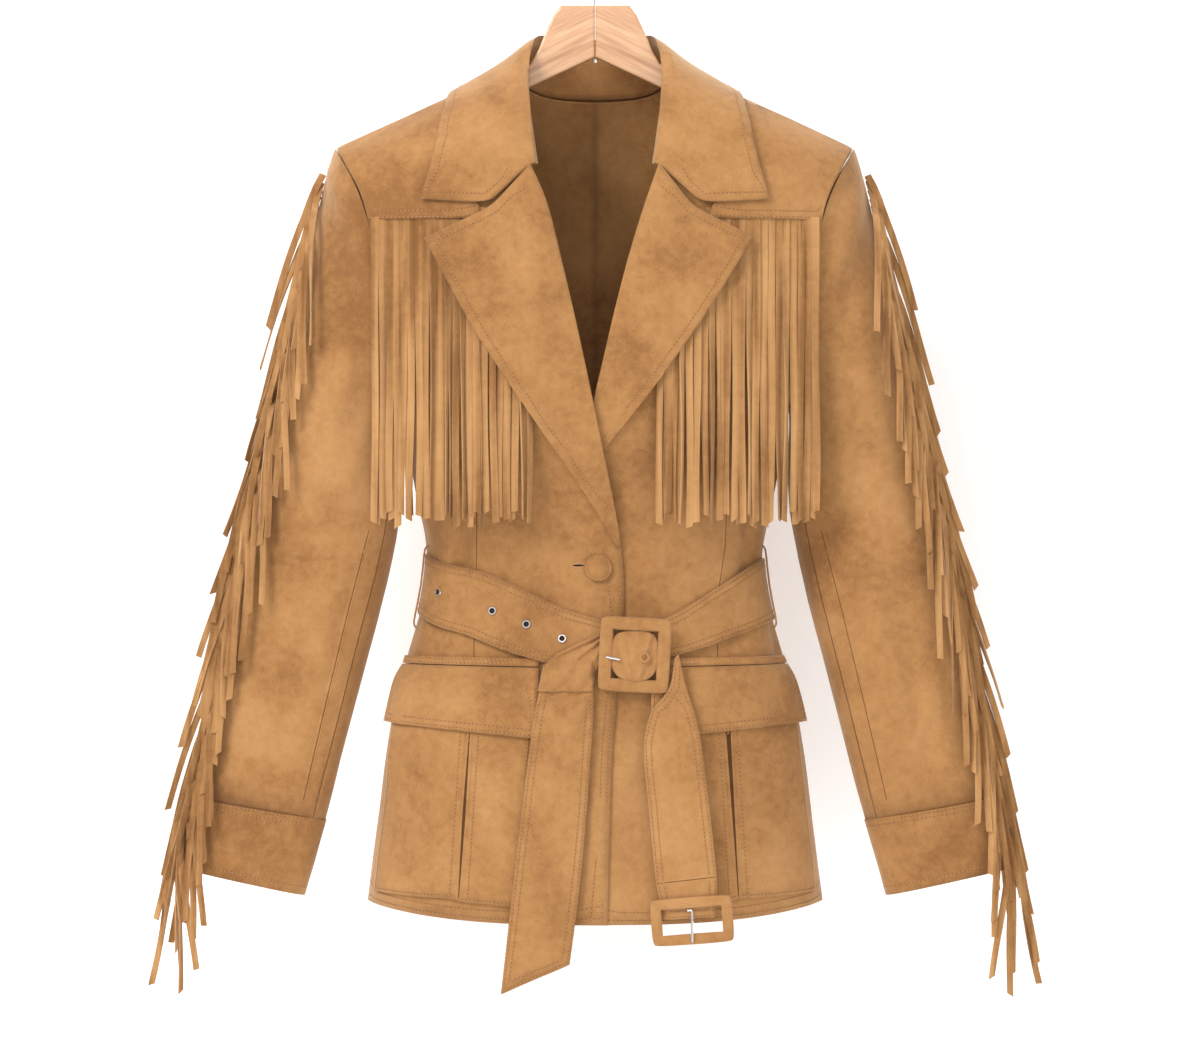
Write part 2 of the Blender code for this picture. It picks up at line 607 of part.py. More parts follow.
def comb(name, heads, roots, thickness, strands):
    """Strands fused into a narrow strip. heads and roots are the strip's upper and lower lines at
    each strand's two edges in turn, and a strand is the list of its four corners, section by section."""
    points, faces = [], []
    for head, root, thick in zip(heads, roots, thickness):
        points += [head + thick, head - thick, root + thick, root - thick]
    count = len(heads)
    for i in range(count - 1):
        a, b = 4 * i, 4 * (i + 1)
        faces += [[a, b, b + 2, a + 2], [b + 1, a + 1, a + 3, b + 3], [b, a, a + 1, b + 1]]
        if i % 2:
            faces.append([a + 2, b + 2, b + 3, a + 3])
    faces += [[0, 2, 3, 1], [4 * count - 4, 4 * count - 3, 4 * count - 1, 4 * count - 2]]
    for i, sections in enumerate(strands):
        ring = [8 * i + 2, 8 * i + 6, 8 * i + 7, 8 * i + 3]
        for section in sections:
            start = len(points)
            points += list(section)
            new = [start + k for k in range(4)]
            faces += [[ring[k], ring[(k + 1) % 4], new[(k + 1) % 4], new[k]] for k in range(4)]
            ring = new
        faces.append(ring)
    mesh_object(name, np.array(points), faces, "fringe")


def section(centre, width, thick):
    low, high = centre - width, centre + width
    return [low + thick, high + thick, high - thick, low - thick]


def yoke_fringe(word, side):
    chance = np.random.default_rng(SEED + side)
    first, last = YOKE_FRINGE_X
    pitch = (last - first) / YOKE_STRANDS
    heads, roots, thickness, strands = [], [], [], []
    for i in range(YOKE_STRANDS):
        middle = first + pitch * (i + 0.5)
        half = pitch * 0.45
        for x in (middle - half, middle + half):
            heads.append(skin(side * x, YOKE_FRINGE_Z, -1, 1.2))
            roots.append(skin(side * x, YOKE_FRINGE_Z - 9, -1, 1.2))
            thickness.append(np.array((0, -STRAND_THICK / 2, 0)))
        length = YOKE_FRINGE_LENGTH + chance.uniform(-6, 6)
        forward = 0.5 + 1.5 * (i % 2) + chance.uniform(0, 0.3)
        drift = chance.uniform(-1.2, 1.2)
        sections = []
        for share in (0.1, 0.45, 1.0):
            z = YOKE_FRINGE_Z - 9 - (length - 9) * share
            x = side * (middle + drift * share)
            y = float(hanging_y(x, z)) - 1.9 - forward * min(share * 4, 1)
            width = np.array((side * half, 0, 0))
            sections.append(section(np.array((x, y, z)), width, np.array((0, -STRAND_THICK / 2, 0))))
        strands.append(sections)
    comb(f"fringe_yoke_{word}", heads, roots, thickness, strands)


def outer_edge(z):
    """The sleeve's outer edge, and the half width and half depth of its section there."""
    table = np.concatenate([SLEEVE[1:-1], CUFF])[::-1]
    x = float(curve_at(table[:, 1], table[:, 0], z))
    half = float(np.interp(z, table[:, 1], (table[:, 0] - table[:, 2]) / 2))
    return x, half, float(np.interp(z, table[:, 1], table[:, 4]))


def over_sleeve(x, z):
    """How far a strand has to stand off the seam's plane to pass the sleeve or cuff at x and z."""
    edge, half, deep = outer_edge(max(z, CUFF[-1][1]))
    within = min(edge - x + 6.5, half)
    return deep * math.sqrt(max(0, 1 - ((half - within) / half) ** 2)) * 1.1 if within > 0 else 0


def crosses(line, others):
    """True where a strand's middle line comes too near another strand's."""
    for other in others:
        apart = line[:, None] - other[None]
        beside = np.hypot(apart[..., 0], apart[..., 2]) < STRAND_HALF * 2 + 0.8
        if (beside & (np.abs(apart[..., 1]) < STRAND_THICK * 1.15)).any():
            return True
    return False


def sleeve_fringe(word, side):
    """Strands along the sleeve's seam. Each stands off in steps until it clears the ones above it."""
    chance = np.random.default_rng(SEED + 20 + side)
    high, low = SLEEVE_FRINGE_Z
    pitch = (high - low) / SLEEVE_STRANDS
    heads, roots, thickness, strands, paths = [], [], [], [], []
    thick = np.array((0, -STRAND_THICK / 2, 0))
    for i in range(SLEEVE_STRANDS):
        for share in (0.2, 0.8):
            z = high - pitch * (i + share)
            x = outer_edge(z)[0]
            heads.append(np.array((side * (x + 1.5), 0, z)))
            roots.append(np.array((side * (x + 3.6), 0, z - 0.6)))
            thickness.append(thick)
        start_z = high - pitch * (i + 0.5)
        start_x = outer_edge(start_z)[0] + 4.2
        length = chance.uniform(*SLEEVE_FRINGE_LENGTH)
        folded = STRAND_FOLD * float(ease((i / SLEEVE_STRANDS - 0.76) / 0.24))
        fan = math.radians(STRAND_FAN[i % len(STRAND_FAN)] - folded)
        shares = (0.07, 0.3, 0.62, 1.0)
        x = np.array([start_x + 2.0 + length * share * math.sin(fan) for share in shares])
        z = np.array([start_z - length * share * math.cos(fan) for share in shares])
        x[0] = max(x[0], outer_edge(z[0])[0] + 4.8 + 0.6 * folded)
        cover = np.array([1.2] + [over_sleeve(a, b) + 3.3 for a, b in zip(x[1:], z[1:])])
        for step in range(12):
            y = -cover - step * STRAND_STEP * np.array((0.3, 1, 1, 1))
            middles = np.stack([x, y, z], -1)
            finely = np.linspace(0, 1, 40)
            knots = np.linspace(0, 1, 4)
            path = np.stack([np.interp(finely, knots, middles[:, k]) for k in range(3)], -1)
            if not crosses(path, paths[-14:]):
                break
        paths.append(path)
        hanging = -np.array((math.cos(fan), 0, math.sin(fan))) * STRAND_HALF
        leaving = np.array((-0.5, 0, -0.86)) * STRAND_HALF
        flip = np.array((side, 1, 1))
        widths = (leaving, hanging, hanging, hanging)
        strands.append([section(m * flip, w * flip, thick) for m, w in zip(middles, widths)])
    comb(f"fringe_sleeve_{word}", heads, roots, thickness, strands)


def pocket(word, side):
    grid = four_sided(POCKET_EDGES, side, 11, 6)
    t = np.linspace(0, 1, 6)[:, None]
    s = np.linspace(0, 1, 11)[None, :]
    pleat = POCKET_PLEAT[0] + (POCKET_PLEAT[1] - POCKET_PLEAT[0]) * t
    column = int(np.argmin(np.abs(np.abs(grid[3, :, 0]) - pleat[3])))
    for step, place in ((-1, -2.6), (0, 0.0), (1, 2.6)):
        grid[:, column + step, 0] = side * (pleat[:, 0] + place)
    low = 0.9 + 2.2 * np.sin(np.pi * np.clip(s, 0, 1)) * np.sin(np.pi * np.clip(t * 0.8 + 0.2, 0, 1))
    low = np.broadcast_to(low, grid.shape[:2]).copy()
    low[:, column] = 0.9
    if side < 0:
        low += 1.4 * ease((68 - np.abs(grid[..., 0])) / 14)
    patch(f"pocket_{word}", grid, low, WALL)


def flap(word, side):
    grid = four_sided(FLAP_EDGES, side, 9, 5)
    low = np.array((0.6, 4.6, 4.8, 5.0, 5.2))[:, None]
    patch(f"flap_{word}", grid, low, 1.8)
    band = four_sided(FLAP_BAND_EDGES, side, 9, 2)
    patch(f"flap_band_{word}", band, 0.5, 1.8)


def girth_point(share, z, offset):
    """A point round the torso: share 0 is the front's centre, 1 the side seam, 2 the back's centre."""
    angle = abs(share) * math.pi / 2
    x = oval_reach(z) * signed_power(np.sin(angle), 2 / ROUNDNESS) * np.sign(share)
    side = -1 if abs(share) <= 1 else 1
    return skin(x, z, side, offset)


def belt_stand(share):
    """How far the belt's inside stands off the torso: more where it passes over the fronts' overlap."""
    return 1.6 + 1.8 * float(ease((0.6 - share) / 0.4))


def belt():
    """The band round the waist, from the buckle by the wearer's right, the back and the left."""
    outer, inner = [], []
    sweep = [(-1, BELT_LINE, share) for share in np.linspace(-0.04, 1.97, 18)]
    sweep += [(1, BELT_LINE_RIGHT, share) for share in np.linspace(1.97, 0.15, 15)]
    for side, table, share in sweep:
        knots = np.array(table)
        upper = float(np.interp(share, knots[:, 0], knots[:, 1]))
        lower = float(np.interp(share, knots[:, 0], knots[:, 2]))
        stand = belt_stand(share)
        column_out, column_in = [], []
        for step in (0, 0.5, 1):
            z = upper + (lower - upper) * step
            point = girth_point(side * share, z, stand)
            normal = girth_point(side * share, z, stand + 1) - point
            column_in.append(point)
            column_out.append(point + normal * BELT_THICK)
        outer.append(column_out)
        inner.append(column_in)
    wall("belt", np.array(outer), np.array(inner))


def furthest(z, clear):
    """The y of a tail that hangs plumb in front of the flap and pocket."""
    heights = np.clip(np.linspace(-604, min(z, -604), 8), HEM_Z, -604)
    return -float(np.sqrt(depth_squared(32.0, heights, -1)).max()) - clear


def tail(name, rows, shares, fall, end_swing):
    """A hanging end of the belt, row by row, cupped a little until its end swings back to the coat."""
    outer, inner = [], []
    knots = np.linspace(0, 1, len(rows))
    table = np.array(rows)
    for share in shares:
        lz, lx, rz, rx = (float(curve_at(knots, table[:, k], share)) for k in range(4))
        row = line((lx, lz), (rx, rz), np.linspace(0, 1, 5))
        swing = ease((-770 - row[:, 1]) / 14) * end_swing
        y = np.array([furthest(z, fall) for z in row[:, 1]]) + swing
        cup = (1.2 - 0.29 * swing) * np.sin(np.linspace(0, math.pi, 5))
        points = np.stack([row[:, 0], y - cup, row[:, 1]], -1)
        inner.append(points)
        outer.append(points - (0, BELT_THICK, 0))
    wall(name, np.array(outer), np.array(inner))


def frame(name, spec, turn, y, kind="suede"):
    """A rectangular buckle frame with rounded corners, upright in the XZ plane."""
    centre_x, centre_z, width, height, rim, thick = spec
    bpy.ops.mesh.primitive_cube_add(size=1)
    block = bpy.context.active_object
    block.name = name
    block.data.name = name
    block.data.transform(Matrix.Diagonal((width * MM, thick * MM, height * MM, 1)))
    shaped = bmesh.new()
    shaped.from_mesh(block.data)
    deep = thick * MM * 0.9
    uprights = [e for e in shaped.edges if abs(e.verts[0].co.y - e.verts[1].co.y) > deep]
    corner = (0.2 * rim + 3.0) * MM
    bmesh.ops.bevel(
        shaped, geom=uprights, offset=corner, segments=2, affect="EDGES", profile=0.5,
    )
    faces = [f for f in shaped.faces if abs(f.normal.y) > 0.9]
    bmesh.ops.inset_individual(shaped, faces=faces, thickness=rim * MM, use_even_offset=True)
    bmesh.ops.bridge_loops(shaped, edges=[e for f in faces for e in f.edges])
    bmesh.ops.delete(shaped, geom=faces, context="FACES_ONLY")
    bmesh.ops.recalc_face_normals(shaped, faces=shaped.faces)
    shaped.to_mesh(block.data)
    shaped.free()
    round_over = block.modifiers.new("round", "BEVEL")
    round_over.width = 0.0014
    round_over.segments = 1
    round_over.limit_method = "ANGLE"
    round_over.angle_limit = math.radians(60)
    block.rotation_euler = (0, -turn, 0)
    block.location = (centre_x * MM, y * MM, centre_z * MM)
    keep(block, kind)
    return block


def rod(name, points, radius, kind="chrome", resolution=3):
    """A wire along points in millimetres."""
    data = bpy.data.curves.new(name, "CURVE")
    data.dimensions = "3D"
    data.bevel_depth = radius * MM
    data.bevel_resolution = resolution
    data.use_fill_caps = True
    spline = data.splines.new("POLY")
    spline.points.add(len(points) - 1)
    for slot, point in zip(spline.points, points):
        slot.co = (*(float(v) * MM for v in point), 1.0)
    return keep(bpy.data.objects.new(name, data), kind)


def turned(name, profile, centre, axis, kind):
    """A shape turned about an axis through its centre, from a profile of radius and height."""
    steps = 12
    angles = np.linspace(0, 2 * math.pi, steps, endpoint=False)
    axis = np.asarray(axis, float) / np.linalg.norm(axis)
    u = np.cross(axis, (0, 0, 1))
    u /= np.linalg.norm(u)
    v = np.cross(axis, u)
    rings = [
        centre + axis * high + radius * (np.cos(a) * u + np.sin(a) * v)
        for a in angles for radius, high in profile
    ]
    count = len(profile)
    faces = []
    for i in range(steps):
        here, ahead = i * count, (i + 1) % steps * count
        for k in range(count):
            after = (k + 1) % count
            faces.append([here + k, ahead + k, ahead + after, here + after])
    return mesh_object(name, np.array(rings), faces, kind)


def torus_like(name, centre, axis, inner, outer, thick):
    low, high = -thick / 2, thick / 2
    profile = [(inner, low), (outer, low), (outer - 0.3, high), (inner + 0.3, high)]
    turned(name, profile, np.asarray(centre, float), axis, "chrome")


def eyelets():
    for number, (x, z) in enumerate(EYELETS, 1):
        share = math.asin((abs(x) / float(oval_reach(z))) ** (ROUNDNESS / 2)) / (math.pi / 2)
        stand = belt_stand(share) + BELT_THICK + 0.8
        centre = skin(x, z, -1, stand)
        normal = skin(x, z, -1, stand + 1) - centre
        torus_like(f"eyelet_{number}", centre, normal, *EYELET_RADII, 0.9)


def dome(name, centre, radius, height, kind):
    """A covered button: a flattened ball with its rim rolled in."""
    bpy.ops.mesh.primitive_uv_sphere_add(segments=18, ring_count=8, radius=1)
    made = bpy.context.active_object
    made.name = name
    made.data.name = name
    for vertex in made.data.vertices:
        x, y, z = vertex.co
        vertex.co = (
            (centre[0] + x * radius) * MM, (centre[1] + z * height / 2) * MM, (centre[2] - y * radius) * MM,
        )
    made.data.shade_smooth()
    keep(made, kind)


def knot(y):
    """The belt's cloth gathered inside the main buckle."""
    bpy.ops.mesh.primitive_cube_add(size=2)
    made = bpy.context.active_object
    made.name = "belt_knot"
    made.data.name = "belt_knot"
    half = ((BUCKLE[2] - 2 * BUCKLE[4]) / 2 - 0.9, 4.6, (BUCKLE[3] - 2 * BUCKLE[4]) / 2 - 0.9)
    shaped = bmesh.new()
    shaped.from_mesh(made.data)
    bmesh.ops.subdivide_edges(shaped, edges=shaped.edges, cuts=1, use_grid_fill=True)
    for vertex in shaped.verts:
        vertex.co = [(c + h * v) * MM for c, h, v in zip((BUCKLE[0], y, BUCKLE[1]), half, vertex.co)]
    shaped.to_mesh(made.data)
    shaped.free()
    soften = made.modifiers.new("soften", "SUBSURF")
    soften.levels = 1
    soften.render_levels = 1
    keep(made, "suede")


LOOP_SHARE, LOOP_R = 0.9, 0.9  # where round the waist the loops stand, and their thread's radius
LOOP_PATH = (
    # z, how far off the torso
    (-504, 1.4), (-505.5, 3.8), (-508.5, 5.3), (-538, 5.5), (-567.5, 5.3), (-570.5, 3.8), (-572, 1.4),
)


def belt_loop(word, side):
    """A thread loop over the belt at the side seam."""
    path = [girth_point(side * LOOP_SHARE, z, stand) for z, stand in LOOP_PATH]
    rod(f"belt_loop_{word}", path, LOOP_R, "suede", 2)


WOOD_ROUND = 1.6  # how far the arms' edges are rounded over


def hanger_arm(word, side):
    """One arm, cut from a board: outline in the front view, then its edges rounded."""
    end_z = NECK_Z - (HANGER_TIP_X - NECK_X) * SHOULDER_SLOPE - 2.6
    outline = [
        (0.25, WOOD_TOP_Z), (28.0, WOOD_TOP_Z), (34.0, -70.0), (40.5, -84.0), (46.5, -98.5),
        (53.0, -109.5), (NECK_X, NECK_Z - 5.2), (HANGER_TIP_X - 5, end_z + 2.0), (HANGER_TIP_X, end_z - 5.0),
        (HANGER_TIP_X, end_z - 15.0), (HANGER_TIP_X - 4, end_z - 19.0), (NECK_X, -136.5), (57.4, -131.0),
        (0.25, -104.3),
    ]
    data = bpy.data.curves.new(f"hanger_{word}", "CURVE")
    data.dimensions = "2D"
    data.fill_mode = "BOTH"
    data.extrude = (WOOD_THICK / 2 - WOOD_ROUND) * MM
    data.bevel_depth = WOOD_ROUND * MM
    data.bevel_resolution = 1
    data.offset = -WOOD_ROUND * MM
    spline = data.splines.new("POLY")
    spline.points.add(len(outline) - 1)
    spline.use_cyclic_u = True
    ordered = outline if side > 0 else [(-x, z) for x, z in reversed(outline)]
    for slot, (x, z) in zip(spline.points, ordered):
        slot.co = (x * MM, z * MM, 0, 1)
    flat = bpy.data.objects.new(f"hanger_{word}_outline", data)
    bpy.context.scene.collection.objects.link(flat)
    bpy.context.view_layer.update()
    mesh = bpy.data.meshes.new_from_object(flat.evaluated_get(bpy.context.evaluated_depsgraph_get()))
    bpy.data.objects.remove(flat, do_unlink=True)
    for vertex in mesh.vertices:
        x, z, y = vertex.co
        vertex.co = (x, -y, z)
    shaped = bmesh.new()
    shaped.from_mesh(mesh)
    bmesh.ops.remove_doubles(shaped, verts=shaped.verts, dist=0.00002)
    bmesh.ops.recalc_face_normals(shaped, faces=shaped.faces)
    shaped.to_mesh(mesh)
    shaped.free()
    mesh.name = f"hanger_{word}"
    keep(bpy.data.objects.new(f"hanger_{word}", mesh), "wood")


def hook():
    """The wire hook: a stem from the wood, then a round that turns over the rail."""
    radius = HOOK_R
    centre_z = HOOK_WIRE - radius
    path = [(0.0, 0.0, WOOD_TOP_Z + 0.35), (0.0, 0.0, WOOD_TOP_Z + 8)]
    for degree in range(-90, 210, 20):
        angle = math.radians(degree)
        path.append((radius * math.cos(angle), 0.0, centre_z + radius * math.sin(angle)))
    rod("hanger_hook", path, HOOK_WIRE, "chrome", 2)
    rod("hanger_screw", [(0, 0, -105.6), (0, 0, -108.6)], 1.9, "chrome", 2)


front("front_right", -1, RIGHT_EDGE)
front("front_left", 1, LEFT_EDGE)
back("back_right", -1)
back("back_left", 1)
yoke("yoke_right", -1, RIGHT_EDGE)
yoke("yoke_left", 1, LEFT_EDGE)
lapel("lapel_right", -1, RIGHT_ROLL, RIGHT_LAPEL, (82.5, -230.8), over_right_front, LAPEL_TIP_LIFT)
lapel("lapel_left", 1, LEFT_ROLL, LEFT_LAPEL, (78.0, -230.6), over_left_front, LAPEL_TIP_LIFT)
collar()
for word, side in (("right", -1), ("left", 1)):
    sleeve(word, side)
    yoke_fringe(word, side)
    sleeve_fringe(word, side)
    pocket(word, side)
    flap(word, side)
    belt_loop(word, side)
    hanger_arm(word, side)
belt()
eyelets()
buckle_y = float(skin(BUCKLE[0], BUCKLE[1], -1, 0)[1]) - 12.6
frame("buckle", BUCKLE, BUCKLE_TURN, buckle_y)
knot(buckle_y + 1.2)
tail("belt_tip", TIP_TAIL, np.linspace(0, 1, 8), TIP_FALL, 0.0)
tail("belt_tail", BUCKLE_TAIL, np.linspace(0, 1, 13), TAIL_FALL, TAIL_SWING)
end_y = furthest(END_BUCKLE[1], TAIL_FALL + BELT_THICK / 2)
frame("end_buckle", END_BUCKLE, END_BUCKLE_TURN, end_y)
button_y = float(skin(BUTTON_X, BUTTON_Z, -1, 2.4)[1]) - 3.4
prong_y = buckle_y - BUCKLE[5] / 2 - PRONG_R - 0.3
rod("buckle_prong", ((9.0, prong_y, -594.0), (20.0, prong_y - 1.3, -596.2)), PRONG_R)
x, z = END_BUCKLE[0], PRONG_PIVOT_Z
front_y = end_y - END_BUCKLE[5] / 2 - PRONG_R - 0.4
rod(
    "end_buckle_prong",
    ((x - 4, end_y, z), (x - 1, end_y, z), (x, end_y - 0.7, z - 1.3), (x, front_y, z - 9), (x, front_y, z - 26)),
    PRONG_R,
)
dome("button", (BUTTON_X, button_y, BUTTON_Z), BUTTON_R, 5.6, "suede")
hook()
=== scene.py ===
"""A fringed suede jacket with a buckled belt on a wooden hanger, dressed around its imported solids.

Metres, +Z up, the front faces -Y and the wearer's right is at -X. Tables are in millimetres.
"""

import math

import bmesh
import bpy
import numpy as np
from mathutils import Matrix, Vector, noise
from mathutils.bvhtree import BVHTree


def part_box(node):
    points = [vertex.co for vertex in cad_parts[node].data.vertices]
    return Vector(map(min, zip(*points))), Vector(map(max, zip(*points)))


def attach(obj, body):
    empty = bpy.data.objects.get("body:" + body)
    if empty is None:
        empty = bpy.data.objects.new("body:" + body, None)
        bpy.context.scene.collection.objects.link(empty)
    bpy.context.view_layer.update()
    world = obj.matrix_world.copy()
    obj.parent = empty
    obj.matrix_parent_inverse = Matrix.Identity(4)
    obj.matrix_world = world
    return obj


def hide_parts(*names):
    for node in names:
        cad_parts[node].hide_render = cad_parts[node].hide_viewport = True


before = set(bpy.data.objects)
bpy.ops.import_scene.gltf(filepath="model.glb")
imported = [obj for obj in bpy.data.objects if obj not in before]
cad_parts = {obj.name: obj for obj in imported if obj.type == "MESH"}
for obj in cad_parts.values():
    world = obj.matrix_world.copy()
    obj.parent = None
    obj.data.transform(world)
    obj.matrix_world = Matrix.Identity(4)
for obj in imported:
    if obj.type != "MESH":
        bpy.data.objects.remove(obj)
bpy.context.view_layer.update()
MM = 0.001
COAT = "coat"


# Suede: split hide with its nap brushed up, dyed tan. The nap lies one way in some places and
# the other way in others, which makes the light and dark clouds, and the cut fibres catch the
# light at the edges.
class Shade:
    """One output of a material's nodes. Sums on it add Math nodes, and node() adds any other."""

    def __init__(self, tree, socket=None):
        self.tree = tree
        self.socket = socket

    def node(self, kind, settings, inputs, output=0):
        made = self.tree.nodes.new(kind)
        for name, value in settings.items():
            if name == "stops":
                while len(made.color_ramp.elements) < len(value):
                    made.color_ramp.elements.new(0.5)
                for stop, (place, colour) in zip(made.color_ramp.elements, value):
                    stop.position = place
                    stop.color = (*colour, 1.0)
            else:
                setattr(made, name, value)
        for name, value in inputs.items():
            if isinstance(value, Shade):
                self.tree.links.new(value.socket, made.inputs[name])
            else:
                made.inputs[name].default_value = value
        return Shade(self.tree, made.outputs[output])

    def maths(self, operation, first, second):
        return self.node("ShaderNodeMath", {"operation": operation}, {0: first, 1: second})

    def __add__(self, other):
        return self.maths("ADD", self, other)

    def __sub__(self, other):
        return self.maths("SUBTRACT", self, other)

    def __rsub__(self, other):
        return self.maths("SUBTRACT", other, self)

    def __mul__(self, other):
        return self.maths("MULTIPLY", self, other)

    __radd__ = __add__
    __rmul__ = __mul__

    def power(self, other):
        return self.maths("POWER", self, other)

    def cloud(self, place, scale, detail=2.0, distortion=0.0):
        """Noise of a scale in features a metre."""
        inputs = {"Vector": place, "Scale": scale, "Detail": detail, "Distortion": distortion}
        return self.node("ShaderNodeTexNoise", {}, inputs, "Fac")

    def blend(self, share, first, second):
        return self.node(
            "ShaderNodeMix", {"data_type": "RGBA"}, {"Factor": share, 6: first, 7: second}, 2
        )


def finish_of(name, roughness, metallic=0.0):
    """A new material: its Principled shader's node and a Shade to build with."""
    made = bpy.data.materials.new(name)
    made.use_nodes = True
    shader = made.node_tree.nodes["Principled BSDF"]
    shader.inputs["Roughness"].default_value = roughness
    shader.inputs["Metallic"].default_value = metallic
    return made, shader, Shade(made.node_tree)


SUEDE_TAN = (0.345, 0.168, 0.060)
SUEDE_DARK = (0.235, 0.104, 0.035)
SUEDE_LIGHT = (0.425, 0.220, 0.086)
NAP_STOPS = (0.38, 0.50, 0.62)  # where the nap's noise is dark, tan and light
STRIP_STRETCH = (150.0, 60.0, 6.0)  # strips a metre across, through and down the cloth
SHEEN_TINT = (1.0, 0.86, 0.66, 1.0)


def suede(name, dark, tan, light, fibre=1.0, striped=0.0):
    """striped is how much the shade changes from one hanging strip to the next."""
    made, shader, cut = finish_of(name, 0.93)
    place = cut.node("ShaderNodeTexCoord", {}, {}, "Object")
    swept = cut.cloud(place, 8.0, 2.0, 0.8)
    brushed = cut.cloud(place, 26.0, 4.0, 0.6)
    handled = cut.cloud(place, 150.0, 4.0, 0.4)
    fibres = cut.cloud(place, 1300.0, 2.0, 0.0)
    nap = swept * 0.38 + brushed * 0.22 + handled * 0.20 + fibres * (0.20 * fibre)
    if striped:
        drawn_out = cut.node("ShaderNodeMapping", {}, {"Vector": place, "Scale": STRIP_STRETCH})
        nap = nap * (1 - striped) + cut.cloud(drawn_out, 1.0, 1.0) * striped
    stops = list(zip(NAP_STOPS, (dark, tan, light)))
    colour = cut.node("ShaderNodeValToRGB", {"stops": stops}, {"Fac": nap})
    height = fibres * 0.5 + cut.cloud(place, 420.0, 3.0, 0.3) * 0.5
    raised = {"Strength": 0.32 * fibre, "Distance": 0.0007, "Height": height}
    bump = cut.node("ShaderNodeBump", {}, raised)
    cut.tree.links.new(colour.socket, shader.inputs["Base Color"])
    cut.tree.links.new(bump.socket, shader.inputs["Normal"])
    shader.inputs["Specular IOR Level"].default_value = 0.12
    shader.inputs["Sheen Weight"].default_value = 0.35
    shader.inputs["Sheen Roughness"].default_value = 0.45
    shader.inputs["Sheen Tint"].default_value = SHEEN_TINT
    return made


coat_suede = suede("coat_suede", SUEDE_DARK, SUEDE_TAN, SUEDE_LIGHT)

# The coat's panels: fronts, backs, yokes, two-piece sleeves, turned cuffs. They hang from the
# hanger's arms, so the cloth breaks in a few long folds at the waist, under the belt and down
# the sleeves. Each is cut from one hide and sewn to its neighbour with a narrow allowance.
FOLDS = (
    # from x, from z, to x, to z, half width, depth (below zero goes in), side (-1 is the front)
    (-114, -470, -110, -535, 6.0, -4.6, -1),
    (-122, -478, -124, -540, 5.0, 1.6, -1),
    (124, -474, 122, -535, 6.0, -4.6, -1),
    (131, -478, 134, -535, 5.0, 1.6, -1),
    (84, -480, 66, -558, 5.0, 2.4, -1),
    (74, -486, 56, -552, 5.0, -2.6, -1),
    (-60, -500, -44, -556, 6.0, -2.2, -1),
    (-135, -556, -128, -602, 6.0, -3.4, -1),
    (-120, -560, -112, -596, 5.0, 1.6, -1),
    (146, -560, 150, -602, 6.0, -3.4, -1),
    (128, -566, 122, -600, 5.0, 1.6, -1),
    (-150, -400, -136, -470, 8.0, -4.0, -1),
    (150, -400, 138, -470, 8.0, -4.0, -1),
    (20, -590, 8, -700, 9.0, -2.0, -1),
    (-2, -700, 10, -800, 9.0, 1.8, -1),
    (30, -690, 22, -806, 8.0, -2.2, -1),
    (-36, -640, -30, -800, 9.0, -1.8, -1),
    (-168, -700, -176, -806, 8.0, -3.0, -1),
    (170, -700, 178, -806, 8.0, -3.0, -1),
    (-160, -610, -172, -690, 6.0, 1.6, -1),
    (10, -180, -8, -420, 12.0, -3.0, 1),
    (-90, -200, -60, -400, 14.0, -4.0, 1),
    (96, -220, 66, -390, 14.0, -4.0, 1),
    (-40, -450, -30, -540, 7.0, 2.4, 1),
    (44, -460, 36, -540, 7.0, 2.4, 1),
    (-90, -470, -80, -545, 7.0, -3.4, 1),
    (92, -470, 80, -545, 7.0, -3.4, 1),
    (-20, -570, -26, -800, 10.0, 3.0, 1),
    (60, -575, 76, -800, 11.0, -3.4, 1),
    (-84, -575, -100, -800, 11.0, -3.4, 1),
    (130, -590, 146, -800, 11.0, 3.0, 1),
    (-140, -590, -152, -800, 11.0, 3.0, 1),
    (-221, -190, -179, -327, 7.0, 3.2, -1),
    (-232, -200, -196, -330, 9.0, -3.2, -1),
    (217, -194, 183, -302, 7.0, 3.2, -1),
    (229, -202, 199, -320, 9.0, -3.2, -1),
    (-190, -330, -206, -430, 9.0, -2.6, -1),
    (196, -326, 212, -420, 9.0, -2.6, -1),
    (-186, -452, -222, -476, 7.0, -3.0, -1),
    (-180, -494, -226, -520, 7.0, 2.6, -1),
    (190, -462, 232, -482, 7.0, -3.0, -1),
    (188, -506, 240, -528, 7.0, 2.6, -1),
    (-214, -540, -246, -640, 8.0, 2.2, -1),
    (-232, -560, -262, -680, 9.0, -2.6, -1),
    (222, -540, 252, -650, 8.0, 2.2, -1),
    (242, -560, 270, -690, 9.0, -2.6, -1),
    (-258, -600, -284, -700, 8.0, 1.8, -1),
    (264, -610, 288, -700, 8.0, 1.8, -1),
    (-190, -470, -250, -500, 8.0, -3.0, 1),
    (194, -476, 250, -500, 8.0, -3.0, 1),
)
SHOULDER = (175.0, -215.0)  # the middle line of a sleeve, from x and z at its head
WRIST = (292.0, -780.0)  # to x and z at its mouth
SLEEVE_FOLDS_FROM_X = 170.0
FOLD_BOW, FOLD_FADE = 0.06, 0.25  # shares of a fold's length: its bend, and the fading past its ends
FOLD_ROUND_Y = 12.0  # a fold fades out over this far from the side of the coat
UNEVEN = ((1.1, (16, 16, 11)), (0.45, (52, 52, 40)))  # depths in millimetres and waves a metre


def eased(t):
    t = np.clip(t, 0, 1)
    return t * t * (3 - 2 * t)


